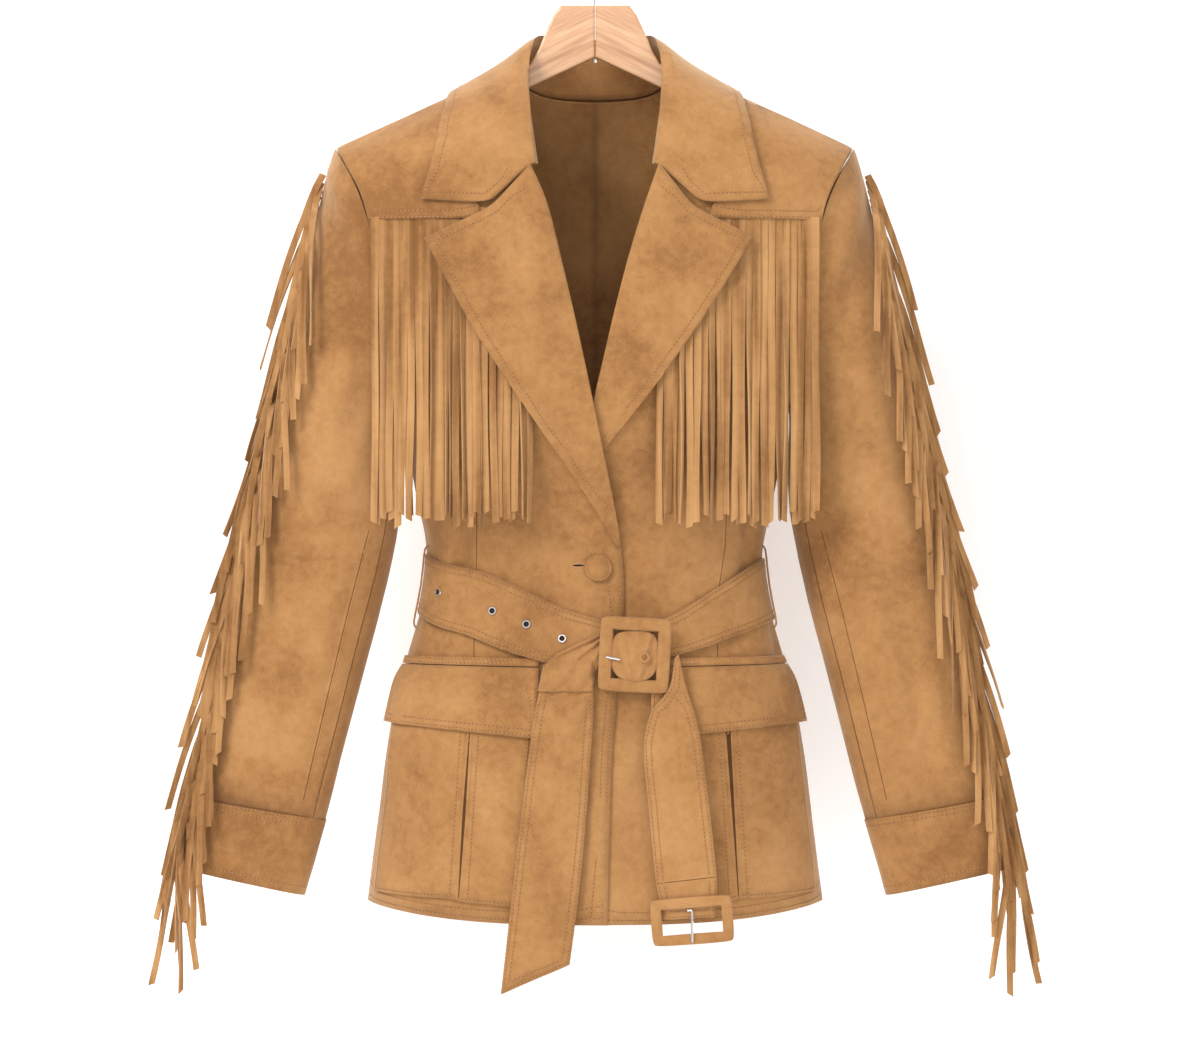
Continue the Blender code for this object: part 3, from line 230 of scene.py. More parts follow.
def middle_of(points, sleeved):
    """The point inside the coat or the sleeve that each point of the cloth faces away from."""
    middle = points * (0.35, 0.0, 1.0)
    if sleeved:
        mirror = np.ones_like(points)
        mirror[:, 0] = np.sign(points[:, 0])
        head, mouth = (np.array((x, 0.0, z)) * MM for x, z in (SHOULDER, WRIST))
        line = mouth - head
        share = ((points * mirror - head) @ line) / (line @ line)
        middle = (head + share[:, None] * line) * mirror
    return middle


def folded(points, sleeved=False):
    """Points of the cloth, moved out or in by the folds that pass them."""
    away = points - middle_of(points, sleeved)
    away /= np.linalg.norm(away, axis=1, keepdims=True)
    depth = np.zeros(len(points))
    flat = points[:, (0, 2)] / MM
    for x1, z1, x2, z2, width, deep, side in FOLDS:
        if (abs(x1 + x2) / 2 > SLEEVE_FOLDS_FROM_X) != sleeved:
            continue
        start, run = np.array((x1, z1)), np.array((x2 - x1, z2 - z1))
        share = ((flat - start) @ run) / (run @ run)
        bow = FOLD_BOW * math.hypot(*run) * np.sin(np.pi * np.clip(share, 0, 1))
        across = (flat - start) @ (np.array((-run[1], run[0])) / math.hypot(*run)) - bow
        along = eased(np.minimum(share + FOLD_FADE, 1 + FOLD_FADE - share) / (2 * FOLD_FADE))
        facing = np.clip(points[:, 1] * side / (FOLD_ROUND_Y * MM), 0, 1)
        depth += deep * np.exp(-((across / width) ** 2)) * along * facing
    for k, point in enumerate(points):
        depth[k] += sum(deep * noise.noise(Vector(point * waves)) for deep, waves in UNEVEN)
    return points + away * depth[:, None] * MM


def points_of(piece):
    found = np.empty(len(piece.data.vertices) * 3)
    piece.data.vertices.foreach_get("co", found)
    return found.reshape(-1, 3)


def set_points(piece, points):
    piece.data.vertices.foreach_set("co", np.asarray(points, float).ravel())
    piece.data.update()


def new_piece(name, mesh):
    made = bpy.data.objects.new(name, mesh)
    bpy.context.scene.collection.objects.link(made)
    return made


def only(piece):
    """Selects this piece alone."""
    bpy.ops.object.select_all(action="DESELECT")
    piece.select_set(True)
    bpy.context.view_layer.objects.active = piece


def tree_of(piece):
    return BVHTree.FromObject(piece, bpy.context.evaluated_depsgraph_get())


def first_hit(tree, x, z, side=-1):
    """The point and normal that are met first at x and z from the front (-1) or the back (1)."""
    start = Vector((x * MM, side * 0.3, z * MM))
    return tree.ray_cast(start, Vector((0, -side, 0)))[:2]


plain_meshes = {}  # each piece's merged faces before they are smoothed, where its edges are found
CREASE_FROM, NO_CREASE = 50.0, 181.0  # degrees between faces


def copied(node, smooth=2, crease_from=CREASE_FROM):
    """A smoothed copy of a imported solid, its loose triangles merged first."""
    piece = new_piece(f"{node}_dressed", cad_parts[node].data.copy())
    shaped = bmesh.new()
    shaped.from_mesh(piece.data)
    bmesh.ops.remove_doubles(shaped, verts=shaped.verts, dist=0.01 * MM)
    flat_within, square_within = math.radians(40), math.radians(70)
    bmesh.ops.join_triangles(
        shaped, faces=shaped.faces,
        angle_face_threshold=flat_within, angle_shape_threshold=square_within,
    )
    crease = shaped.edges.layers.float.new("crease_edge")
    for edge in shaped.edges:
        if len(edge.link_faces) == 2 and edge.calc_face_angle() > math.radians(crease_from):
            edge[crease] = 1.0
    shaped.to_mesh(piece.data)
    plain_meshes[node] = shaped
    only(piece)
    if smooth:
        rounded = piece.modifiers.new("rounded", "SUBSURF")
        rounded.levels = smooth
        rounded.render_levels = smooth
        bpy.ops.object.modifier_apply(modifier="rounded")
    bpy.ops.object.shade_smooth_by_angle(angle=math.radians(48))
    piece.data.materials.clear()
    return piece


def keep(piece, body, slot, *nodes):
    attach(piece, body)
    if nodes:
        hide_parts(*nodes)


dressed = {}
BACK_SEAM_HALF = 1.2  # the backs' edges this near to the middle are closed on it
# The sleeve's head is drawn in to the coat, and its end down into the cuff: from where, over how
# much and how far.
ARMHOLE_X, ARMHOLE_FADE, ARMHOLE_IN = 200.0, 20.0, 1.3
CUFF_TOP_Z, CUFF_FADE, CUFF_DOWN = -690.0, 14.0, 1.6


def dress(node, sleeved=False, lift=0.0, folds=True):
    """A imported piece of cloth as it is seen: smoothed, folded, and lifted off what it lies on."""
    piece = copied(node)
    points = points_of(piece)
    if lift:
        away = points - middle_of(points, sleeved)
        points = points + away / np.linalg.norm(away, axis=1, keepdims=True) * lift * MM
    if folds:
        points = folded(points, sleeved)
    if node.startswith("back"):
        points[np.abs(points[:, 0]) < BACK_SEAM_HALF * MM, 0] = 0.0
    if node.startswith("sleeve"):
        at_armhole = np.clip((ARMHOLE_X - np.abs(points[:, 0]) / MM) / ARMHOLE_FADE, 0, 1)
        points[:, 0] -= np.sign(points[:, 0]) * at_armhole * ARMHOLE_IN * MM
        at_cuff = np.clip((CUFF_TOP_Z - points[:, 2] / MM) / CUFF_FADE, 0, 1)
        points[:, 2] -= at_cuff * CUFF_DOWN * MM
    set_points(piece, points)
    piece.data.materials.append(coat_suede)
    keep(piece, COAT, "suede", node)
    dressed[node] = piece
    return piece


SIDES = ("right", "left")
for word in SIDES:
    for node in (f"front_{word}", f"back_{word}"):
        dress(node)
    for part in ("top", "under"):
        dress(f"sleeve_{word}_{part}", sleeved=True)
    dress(f"cuff_{word}", sleeved=True)


# The yoke is a second layer over the shoulder and chest, cut off straight above the chest. Its
# lower edge is a folded band sewn down over the head of the fringe.
for word in SIDES:
    dress(f"yoke_{word}", lift=0.35)


# The collar is two layers of suede turned over a stand, and the lapels are the fronts' own
# facings turned back along the roll line.
dress("collar", folds=False)
for word in SIDES:
    dress(f"lapel_{word}", lift=0.2, folds=False)
for word in SIDES:
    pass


# Patch pockets with an inverted pleat, a flap over each and a narrow band over the flap, all
# top-stitched to the fronts.
for word in SIDES:
    dress(f"pocket_{word}", lift=0.5)
    dress(f"flap_{word}", lift=0.5)
    dress(f"flap_band_{word}", lift=0.7)


# Cut fringe: strips of the same hide slit side by side. They curl a little, turn edge-on here
# and there, and end ragged.
FRINGE_TONES = ((0.215, 0.096, 0.032), (0.360, 0.182, 0.068), (0.470, 0.255, 0.104))
fringe_suede = suede("fringe_suede", *FRINGE_TONES, 0.9, 0.45)
STRIP_THICK = 1.2
STRIP_CURL, STRIP_SLANT = 16.0, 2.0  # degrees, and how far a strip's end is cut off the square
STRIP_TAPER = 0.12  # share of its width that a strip loses to its end


def strips(name, lines):
    """One mesh of flat strips.

    Each line is its middle's points, half width vectors, face normals and the slant of its end.
    """
    points, faces = [], []
    for middles, halves, normals, slant in lines:
        start = len(points)
        thick = normals * STRIP_THICK / 2
        last = len(middles) - 1
        end = middles[-1] - middles[-2]
        end *= slant / np.linalg.norm(end)
        for k, (middle, half, out) in enumerate(zip(middles, halves, thick)):
            cut = end if k == last else end * 0
            low, high = middle - half - cut, middle + half + cut
            points += [low + out, high + out, high - out, low - out]
        for k in range(last):
            base = start + 4 * k
            for j in range(4):
                after = (j + 1) % 4
                faces.append([base + j, base + after, base + 4 + after, base + 4 + j])
        faces.append([start + j for j in (3, 2, 1, 0)])
        faces.append([start + 4 * last + j for j in range(4)])
    mesh = bpy.data.meshes.new(name)
    mesh.from_pydata([tuple(p) for p in np.array(points) * MM], [], faces)
    made = new_piece(name, mesh)
    only(made)
    bpy.ops.object.mode_set(mode="EDIT")
    bpy.ops.mesh.select_all(action="SELECT")
    bpy.ops.mesh.normals_make_consistent(inside=False)
    bpy.ops.object.mode_set(mode="OBJECT")
    bpy.ops.object.shade_smooth_by_angle(angle=math.radians(40))
    made.data.materials.append(fringe_suede)
    return made


ACROSS = np.array((1.0, 0, 0))


def strip_line(middles, across, width, chance, turn):
    """Half widths and normals along a strip whose face turns by a few degrees on its way down."""
    down = np.gradient(middles, axis=0)
    down /= np.linalg.norm(down, axis=1, keepdims=True)
    share = np.linspace(0, 1, len(middles))
    curl = STRIP_CURL * np.sin(share * chance.uniform(4, 9) + chance.uniform(0, 6)) * share
    angle = np.radians(turn * eased(share * 1.6) + curl)
    side = across - down * (down @ across)[:, None]
    side /= np.linalg.norm(side, axis=1, keepdims=True)
    face = np.cross(side, down)
    swung = side * np.cos(angle)[:, None] + face * np.sin(angle)[:, None]
    narrow = width / 2 * (1 - STRIP_TAPER * share)
    slant = chance.uniform(-STRIP_SLANT, STRIP_SLANT)
    return middles, swung * narrow[:, None], np.cross(swung, down), slant


YOKE_STRIPS, YOKE_STRIP_WIDTH, YOKE_FROM, YOKE_TO = 22, 6.3, 49.5, 181.5
YOKE_FRINGE_Z, YOKE_FRINGE_LONG = -231.0, 253.0
YOKE_OUTER_X, YOKE_OUTER_DROP = 166.0, 7.0  # the strips past this x hang from a lower head
FRONT_TO_X = 168.0  # how far out the front's cloth is still felt for
STRIP_POINTS = 12
HALF_TURNED = 24  # degrees that a strip's face may turn


def cloth_ahead(word):
    tree = tree_of(dressed[f"front_{word}"])

    def furthest(x, z):
        """The y of the furthest cloth between the fringe's head and this height."""
        found = []
        for height in np.arange(YOKE_FRINGE_Z, z - 1, -18):
            hit = first_hit(tree, x, height)[0]
            found.append(hit.y / MM if hit else 0.0)
        return min(found)

    return furthest


def yoke_fringe(word, side):
    chance = np.random.default_rng(41 + side)
    furthest = cloth_ahead(word)
    pitch = (YOKE_TO - YOKE_FROM) / YOKE_STRIPS
    lines = []
    layers = [(k, 0) for k in range(YOKE_STRIPS)]
    layers += [(k + 0.5, 1) for k in range(0, YOKE_STRIPS - 1, 2)]
    for place, behind in layers:
        x0 = YOKE_FROM + pitch * (place + 0.5)
        long = YOKE_FRINGE_LONG + chance.uniform(-8, 6)
        share = np.linspace(0, 1, STRIP_POINTS)
        head = YOKE_FRINGE_Z - (YOKE_OUTER_DROP if x0 > YOKE_OUTER_X else 0.0)
        z = head - (long + head - YOKE_FRINGE_Z) * share
        sway = chance.uniform(-2.0, 2.0) * share**1.5
        sway += 1.1 * np.sin(share * 7 + chance.uniform(0, 6)) * share
        x = side * (x0 + sway)
        felt = [(min(abs(one), FRONT_TO_X) * side, high) for one, high in zip(x, z)]
        back = np.array([furthest(*spot) for spot in felt])
        stand = 1.6 + (0.2 if behind else 1.4 + 0.9 * (int(place) % 2)) * eased(share * 4)
        y = np.minimum.accumulate(back) - stand - 0.4 * np.sin(share * 9 + place)
        turn = 62.0 if chance.random() < 0.16 else chance.uniform(-HALF_TURNED, HALF_TURNED)
        middles = np.stack([x, y, z], 1)
        lines.append(strip_line(middles, ACROSS, YOKE_STRIP_WIDTH, chance, turn))
    made = strips(f"fringe_yoke_{word}_cut", lines)
    keep(made, COAT, "fringe", f"fringe_yoke_{word}")
    return made


SLEEVE_EDGE = np.array((
    # z, outer edge x, half width, half depth of the sleeve there; to the cuff's mouth
    (-194.0, 221.0, 32.0, 57.0),
    (-231.0, 229.0, 34.5, 57.0),
    (-275.0, 238.0, 39.0, 56.0),
    (-330.0, 249.0, 45.0, 54.0),
    (-382.0, 262.0, 52.0, 52.0),
    (-438.0, 274.7, 58.0, 48.0),
    (-502.0, 287.0, 58.5, 43.0),
    (-567.0, 299.0, 57.0, 38.0),
    (-627.0, 312.0, 57.0, 34.0),
    (-683.0, 324.0, 56.0, 30.0),
    (-710.0, 332.5, 56.0, 30.0),
    (-767.0, 345.5, 54.0, 29.0),
))[::-1]
SLEEVE_STRIPS, SLEEVE_STRIP_WIDTH = 86, 5.7
STRIP_FANS = (17.5, 3.0, 11.5, 14.5, 6.5, 9.0, 1.0)  # degrees from plumb at the tip, in turn
STRIP_LEANS = (-1, -1, 1, -1, -1, 1, -1)  # ahead of the seam or behind it, in turn
SLEEVE_FRINGE_Z, SLEEVE_FRINGE_RUN = -200.0, 550.0  # the first strip's height, down to the last
ROOT_DEGREES, ROOT_BEND = 58, 7.0  # a strip leaves the seam at this angle and drops over so far


def sleeve_fringe(word, side):
    chance = np.random.default_rng(63 + side)
    lines = []
    for i in range(SLEEVE_STRIPS):
        place = (i + chance.uniform(-0.2, 0.2)) / SLEEVE_STRIPS
        z0 = SLEEVE_FRINGE_Z - SLEEVE_FRINGE_RUN * place
        x0 = float(np.interp(z0, SLEEVE_EDGE[:, 0], SLEEVE_EDGE[:, 1])) + 0.8
        back_over = 7.0 * float(eased((place - 0.76) / 0.24))
        tip = STRIP_FANS[i % len(STRIP_FANS)] - back_over + chance.uniform(-2, 2)
        lean = STRIP_LEANS[i % len(STRIP_LEANS)]
        long = chance.uniform(116, 139)
        run = np.linspace(0, long, STRIP_POINTS)
        drop = np.exp(-run / ROOT_BEND)
        angle = np.radians(tip + (ROOT_DEGREES - tip) * drop + 3.0 * np.sin(run / 26 + i))
        step = np.diff(run, prepend=0.0)
        x = x0 + np.cumsum(step * np.sin(angle))
        z = z0 - np.cumsum(step * np.cos(angle))
        edge, half, deep = (
            np.interp(z, SLEEVE_EDGE[:, 0], SLEEVE_EDGE[:, k]) for k in (1, 2, 3)
        )
        within = np.clip(edge - x + 6.5, 0, half)
        cover = deep * np.sqrt(1 - ((half - within) / half) ** 2)
        off = cover * 1.08 + 2.6 + 0.03 * run + 0.9 * (i % 3)
        y = lean * (off * eased(run / 46) + 0.5)
        turn = chance.choice((-70.0, 68.0)) if chance.random() < 0.13 else chance.uniform(-28, 28)
        middles = np.stack([side * x, y, z], 1)
        lines.append(strip_line(middles, ACROSS, SLEEVE_STRIP_WIDTH, chance, turn))
    made = strips(f"fringe_sleeve_{word}_cut", lines)
    keep(made, COAT, "fringe", f"fringe_sleeve_{word}")
    return made


for word, side in (("right", -1), ("left", 1)):
    fringe = yoke_fringe(word, side)
    sleeve_fringe(word, side)


# The belt is a long double strip of suede, edge-stitched twice, with four metal eyelets on the
# wearer's right. It is drawn through the main buckle and both ends hang down.
BELT_RESTS = (
    ("belt", "front_right_dressed"),
    ("belt_tip", "belt_dressed"),
    ("belt_tail", "belt_dressed"),
)
PLEATED_FROM_Z, PLEATED_OVER = -0.70, 0.07  # the pointed end's gathers fade out down to here
SPOKES_X, SPOKES_Z = 0.030, -0.560  # they run together at the main buckle
for node, rests in BELT_RESTS:
    piece = dress(node, folds=False)
    points = points_of(piece)
    for k, (x, y, z) in enumerate(points):
        points[k, 1] += 0.5 * MM * noise.noise(Vector((x * 60, 0.3, z * 34)))
        points[k, 2] += 0.8 * MM * noise.noise(Vector((x * 34, 4.0, y * 34)))
        if node == "belt_tip" and z > PLEATED_FROM_Z:
            spoke = math.atan2(SPOKES_Z - z, x - SPOKES_X)
            fade = float(eased((z - PLEATED_FROM_Z) / PLEATED_OVER))
            points[k, 1] -= 1.5 * MM * fade * math.sin(spoke * 34.0 + 9 * z)
    set_points(piece, points)


# Every edge is top-stitched by machine: the thread, a shade darker than the hide, lies in a fine
# groove that its own pull makes. The groove is a flat strip under the thread, painted dark for
# the shade that falls in it.
thread, thread_shader, spun = finish_of("stitch_thread", 0.7)
twist = spun.cloud(spun.node("ShaderNodeTexCoord", {}, {}, "Object"), 900.0)
thread_colour = spun.blend(twist, (0.34, 0.160, 0.058, 1.0), (0.50, 0.262, 0.110, 1.0))
spun.tree.links.new(thread_colour.socket, thread_shader.inputs["Base Color"])
# Painted groove shade: the tones of the flat strip laid under each row of stitches.
GROOVE_SHADE_TONES = ((0.175, 0.078, 0.025), (0.225, 0.104, 0.035), (0.275, 0.132, 0.046))
# Painted shadow: the tones of the fine dark line down the middle of each seam and pleat.
SEAM_SHADOW_TONES = ((0.060, 0.024, 0.008), (0.085, 0.036, 0.012), (0.115, 0.050, 0.018))
painted_groove_shade = suede("stitch_groove_shade", *GROOVE_SHADE_TONES, 0.6)
painted_seam_shadow = suede("seam_shadow", *SEAM_SHADOW_TONES, 0.6)
STITCH_LONG, STITCH_PITCH, THREAD_R, GROOVE_HALF = 2.5, 3.3, 0.27, 0.42
GROOVE_LIFT, THREAD_LIFT, THREAD_SIDES = 0.07, 0.12, 5
STITCH_RINGS = ((-0.5, 0.45), (-0.3, 1.0), (0.3, 1.0), (0.5, 0.45))  # shares along and of its radius
WALL_UP_TO, EDGE_FROM = 3.2, 50.0  # the rim is narrower than this, and its edges sharper


def outer_edges(node, outward):
    """The edges round the seen side of a packed wall: two ends and the way in from the edge."""
    found = []
    for edge in plain_meshes[node].edges:
        if len(edge.link_faces) != 2 or edge.calc_face_angle() < math.radians(EDGE_FROM):
            continue
        for face, rim in (edge.link_faces, reversed(edge.link_faces)):
            a, b = (v.co for v in edge.verts)
            narrow = rim.calc_area() / max(e.calc_length() for e in rim.edges) < WALL_UP_TO * MM
            middle = (a + b) / 2
            seen = face.normal.dot(outward(middle)) > 0.25
            if narrow and seen and face.calc_area() > rim.calc_area() * 0.6:
                inward = face.normal.cross(b - a).normalized()
                if inward.dot(face.calc_center_median() - middle) < 0:
                    inward = -inward
                found.append((edge.verts[0].index, edge.verts[1].index, inward))
                break
    return found


def chains(edges):
    """Runs of joined edges, each a list of vertex numbers."""
    links = {}
    for a, b, _ in edges:
        links.setdefault(a, []).append(b)
        links.setdefault(b, []).append(a)
    left = {frozenset((a, b)) for a, b, _ in edges}
    runs = []
    while left:
        ends = [v for v in links if sum(frozenset((v, o)) in left for o in links[v]) == 1]
        here = min(ends) if ends else min(min(pair) for pair in left)
        run = [here]
        while True:
            ahead = [o for o in links[here] if frozenset((here, o)) in left]
            if not ahead:
                break
            left.discard(frozenset((here, ahead[0])))
            here = ahead[0]
            run.append(here)
        runs.append(run)
    return runs


def from_the_body(point):
    return Vector((point.x * 0.6, point.y, 0.0)).normalized()


def from_the_sleeve(point):
    return (point - Vector(middle_of(np.array([point]), True)[0])).normalized()


def ahead(point):
    return Vector((0.0, -1.0, 0.0))


def rows_on(node, insets, wanted, outward=from_the_body):
    """Stitch rows inside a piece's edge, on the runs whose points are wanted, in millimetres."""
    shaped = plain_meshes[node]
    shaped.verts.ensure_lookup_table()
    shaped.verts.index_update()

    def is_wanted(edge):
        return all(wanted(*(shaped.verts[v].co / MM)) for v in edge[:2])

    edges = [edge for edge in outer_edges(node, outward) if is_wanted(edge)]
    inward = {}
    for a, b, way in edges:
        for v in (a, b):
            inward[v] = inward.get(v, Vector()) + way
    rows = []
    for run in chains(edges):
        for inset in insets:
            line = []
            for v in run:
                way = inward[v]
                spread = way.normalized()
                if way.length < 1.9:
                    spread = spread / max(0.6, way.length / 2)
                line.append(shaped.verts[v].co + spread * inset * MM)
            rows.append(np.array(line))
    return rows


def resampled(line, pitch):
    length = np.concatenate([[0], np.cumsum(np.linalg.norm(np.diff(line, axis=0), axis=1))])
    count = max(2, int(length[-1] / pitch))
    at = np.linspace(0, length[-1], count)
    return np.stack([np.interp(at, length, line[:, k]) for k in range(3)], 1)


def sew(name, node, rows):
    """Stitches along rows, over a flat strip of painted groove shade, laid on a dressed piece."""
    tree = tree_of(dressed[node])
    points, faces, kinds = [], [], []
    for row in rows:
        places = resampled(row, STITCH_PITCH * MM)
        found = [tree.find_nearest(Vector(p)) for p in places]
        spots = np.array([hit[0] for hit in found])
        normals = np.array([hit[1] for hit in found])
        ways = np.gradient(spots, axis=0)
        ways /= np.linalg.norm(ways, axis=1, keepdims=True) + 1e-12
        across = np.cross(ways, normals)
        start = len(points)
        # The strip of painted groove shade: two points across each spot, just above the cloth.
        for spot, side, up in zip(spots, across, normals):
            over = spot + up * GROOVE_LIFT * MM
            points += [over - side * GROOVE_HALF * MM, over + side * GROOVE_HALF * MM]
        for k in range(len(spots) - 1):
            a, b = start + 2 * k, start + 2 * (k + 1)
            faces.append([a, a + 1, b + 1, b])
            kinds.append(1)
        for k in range(len(spots) - 1):
            middle = (spots[k] + spots[k + 1]) / 2
            up = normals[k]
            way = spots[k + 1] - spots[k]
            way /= np.linalg.norm(way) + 1e-12
            side = np.cross(way, up)
            base = len(points)
            for shift, size in STITCH_RINGS:
                ring = middle + way * shift * STITCH_LONG * MM + up * THREAD_LIFT * MM
                for turn in range(THREAD_SIDES):
                    angle = 2 * math.pi * turn / THREAD_SIDES
                    reach = (math.cos(angle) * side * 1.15 + math.sin(angle) * up) * THREAD_R * size * MM
                    points.append(ring + reach)
            last = base + THREAD_SIDES * (len(STITCH_RINGS) - 1)
            for low in range(base, last, THREAD_SIDES):
                high = low + THREAD_SIDES
                for t in range(THREAD_SIDES):
                    u = (t + 1) % THREAD_SIDES
                    faces.append([low + t, low + u, high + u, high + t])
                    kinds.append(0)
            faces.append([base + t for t in reversed(range(THREAD_SIDES))])
            faces.append([last + t for t in range(THREAD_SIDES)])
            kinds += [0, 0]
    mesh = bpy.data.meshes.new(name)
    mesh.from_pydata([tuple(p) for p in points], [], faces)
    mesh.materials.append(thread)
    mesh.materials.append(painted_groove_shade)
    mesh.polygons.foreach_set("material_index", kinds)
    made = new_piece(name, mesh)
    only(made)
    bpy.ops.object.shade_smooth()
    keep(made, COAT, "suede")


ROLL = {
    # how far down a lapel's roll line is, and how far out from the middle there
    "right": ((198.5, 246.0, 313.7, 389.2, 433.5, 500.0), (51.7, 33.8, 17.4, 1.0, -8.0, -20.5)),
    "left": ((197.5, 256.0, 316.0, 391.0, 428.0), (51.2, 31.2, 15.2, -2.4, -8.0)),
}
HEM_ROWS = (3.4, 9.8)


def at_hem(x, y, z):
    return z < -790


def at_lapped_edge(x, y, z):
    return -4.0 < x < 32.0 and z < -512


def on_the_fall(x, y, z):
    return abs(x) > 62 or y > 66


def from_the_neck(point):
    return Vector((point.x * 0.5, point.y, 0.05)).normalized()


def everywhere(x, y, z):
    return True


for word, side in (("right", -1), ("left", 1)):
    front = rows_on(f"front_{word}", HEM_ROWS, at_hem)
    if word == "right":
        front += rows_on("front_right", (2.6, 8.2), at_lapped_edge, ahead)
    sew(f"stitches_front_{word}", f"front_{word}", front)
    sew(f"stitches_back_{word}", f"back_{word}", rows_on(f"back_{word}", HEM_ROWS, at_hem))
    yoke = rows_on(f"yoke_{word}", (1.4, 6.4), lambda x, y, z: z < -236, ahead)
    sew(f"stitches_yoke_{word}", f"yoke_{word}", yoke)

    def past_the_roll(x, y, z):
        return x * side > np.interp(-z, *ROLL[word]) + 4.0

    lapel = rows_on(f"lapel_{word}", (6.6,), past_the_roll, ahead)
    sew(f"stitches_lapel_{word}", f"lapel_{word}", lapel)
    pocket = rows_on(f"pocket_{word}", (2.2,), everywhere, ahead)
    sew(f"stitches_pocket_{word}", f"pocket_{word}", pocket)
    flap = rows_on(f"flap_{word}", (2.2, 6.6), lambda x, y, z: z < -606, ahead)
    sew(f"stitches_flap_{word}", f"flap_{word}", flap)
    band = rows_on(f"flap_band_{word}", (1.6,), everywhere, ahead)
    sew(f"stitches_flap_band_{word}", f"flap_band_{word}", band)
    cuff = rows_on(f"cuff_{word}", (1.6, 5.6), lambda x, y, z: z > -736, from_the_sleeve)
    cuff += rows_on(f"cuff_{word}", (6.6,), lambda x, y, z: z < -760, from_the_sleeve)
    sew(f"stitches_cuff_{word}", f"cuff_{word}", cuff)
sew("stitches_collar", "collar", rows_on("collar", (6.8,), on_the_fall, from_the_neck))
BELT_ROWS = (2.0, 6.4)
sew("stitches_belt", "belt", rows_on("belt", BELT_ROWS, everywhere))
for node in ("belt_tip", "belt_tail"):
    sew(f"stitches_{node}", node, rows_on(node, BELT_ROWS, everywhere, ahead))


# Seams that show inside a piece: the cloth rises to each side of a fine line of painted shadow,
# where it turns under. The pleat of each pocket is such a line too, with a row of stitches down either
# side.
SEAM_RISE = (
    # off the line, above the cloth
    (-2.6, -0.1), (-1.5, 0.30), (-0.75, 0.42), (-0.28, 0.04),
    (0.28, 0.04), (0.75, 0.42), (1.5, 0.30), (2.6, -0.1),
)
SEAM_STEP = 4.0


def on_cloth(node, line, side):
    """Points at the x and z of a line, on the front (-1) or the back (1) of a dressed piece."""
    tree = tree_of(dressed[node])
    spots, normals = [], []
    for x, z in resampled(np.array([(x, z, 0.0) for x, z in line]), SEAM_STEP)[:, :2]:
        hit, normal = first_hit(tree, x, z, side)
        if hit:
            spots.append(hit)
            normals.append(normal)
    return np.array(spots), np.array(normals)


def seam(name, node, line, side, open_by):
    """open_by is how far the two sides stand apart at the line's start, middle and end."""
    spots, normals = on_cloth(node, line, side)
    ways = np.gradient(spots, axis=0)
    ways /= np.linalg.norm(ways, axis=1, keepdims=True)
    across = np.cross(ways, normals)
    steps = np.arange(len(spots))
    ends = np.clip(steps / 3, 0.1, 1) * np.clip(steps[::-1] / 3, 0.1, 1)
    points, faces, kinds = [], [], []
    count = len(SEAM_RISE)
    apart = np.interp(np.linspace(0, 1, len(spots)), (0, 0.5, 1), open_by) / 2
    for spot, way, up, end, gap in zip(spots, across, normals, ends, apart):
        for off, rise in SEAM_RISE:
            points.append(spot + (way * (off + math.copysign(gap, off)) + up * rise * end) * MM)
    for k in range(len(spots) - 1):
        for j in range(count - 1):
            a, b = count * k + j, count * (k + 1) + j
            faces.append([a, a + 1, b + 1, b])
            # The middle strip takes the painted seam shadow.
            kinds.append(1 if j == count // 2 - 1 else 0)
    mesh = bpy.data.meshes.new(name)
    mesh.from_pydata([tuple(p) for p in points], [], faces)
    mesh.materials.append(coat_suede)
    mesh.materials.append(painted_seam_shadow)
    mesh.polygons.foreach_set("material_index", kinds)
    made = new_piece(name, mesh)
    only(made)
    bpy.ops.object.shade_smooth_by_angle(angle=math.radians(60))
    keep(made, COAT, "suede")


SHUT = (0.0, 0.0, 0.0)
SEAMS = (
    # name, node, side, how far it stands open, the line's x and z
    ("dart_right", "front_right", -1, SHUT, ((-96.0, -470.0), (-96.5, -524.0), (-98.5, -600.0))),
    ("dart_left", "front_left", -1, SHUT,
     ((107.0, -470.0), (106.0, -503.0), (101.0, -538.0), (99.0, -600.0))),
    ("pleat_right", "pocket_right", -1, (0.3, 2.2, 0.2), ((-101.7, -656.0), (-110.7, -793.0))),
    ("pleat_left", "pocket_left", -1, (3.2, 1.6, 0.2), ((107.8, -654.0), (116.2, -789.0))),
    ("back_centre", "back_left", 1, SHUT, ((0.4, -138.0), (0.4, -500.0), (0.4, -810.0))),
    ("sleeve_right", "sleeve_right_top", -1, SHUT,
     ((-184.0, -492.0), (-201.0, -557.0), (-219.0, -631.0), (-238.0, -712.0))),
    ("sleeve_left", "sleeve_left_top", -1, SHUT,
     ((184.0, -492.0), (201.0, -557.0), (219.0, -631.0), (238.0, -712.0))),
    ("belt_tail", "belt_tail", -1, SHUT, ((49.8, -777.0), (98.0, -771.5))),
)
PLEAT_ROWS = (-7.4, 7.4)
for name, node, side, open_by, line in SEAMS:
    seam(f"seam_{name}", node, line, side, open_by)
    if name.startswith("pleat"):
        sides = [on_cloth(node, [(x + shift, z) for x, z in line], -1)[0] for shift in PLEAT_ROWS]
        sew(f"stitches_{name}", node, sides)


# The main buckle and the small one at the belt's end are frames covered in the same suede, glued
# round so that no edge shows. The small one's prong swings on its bar.
for node in ("buckle", "end_buckle"):
    piece = copied(node, 3, crease_from=NO_CREASE)
    piece.data.materials.append(coat_suede)
    keep(piece, COAT, "suede", node)
    dressed[node] = piece

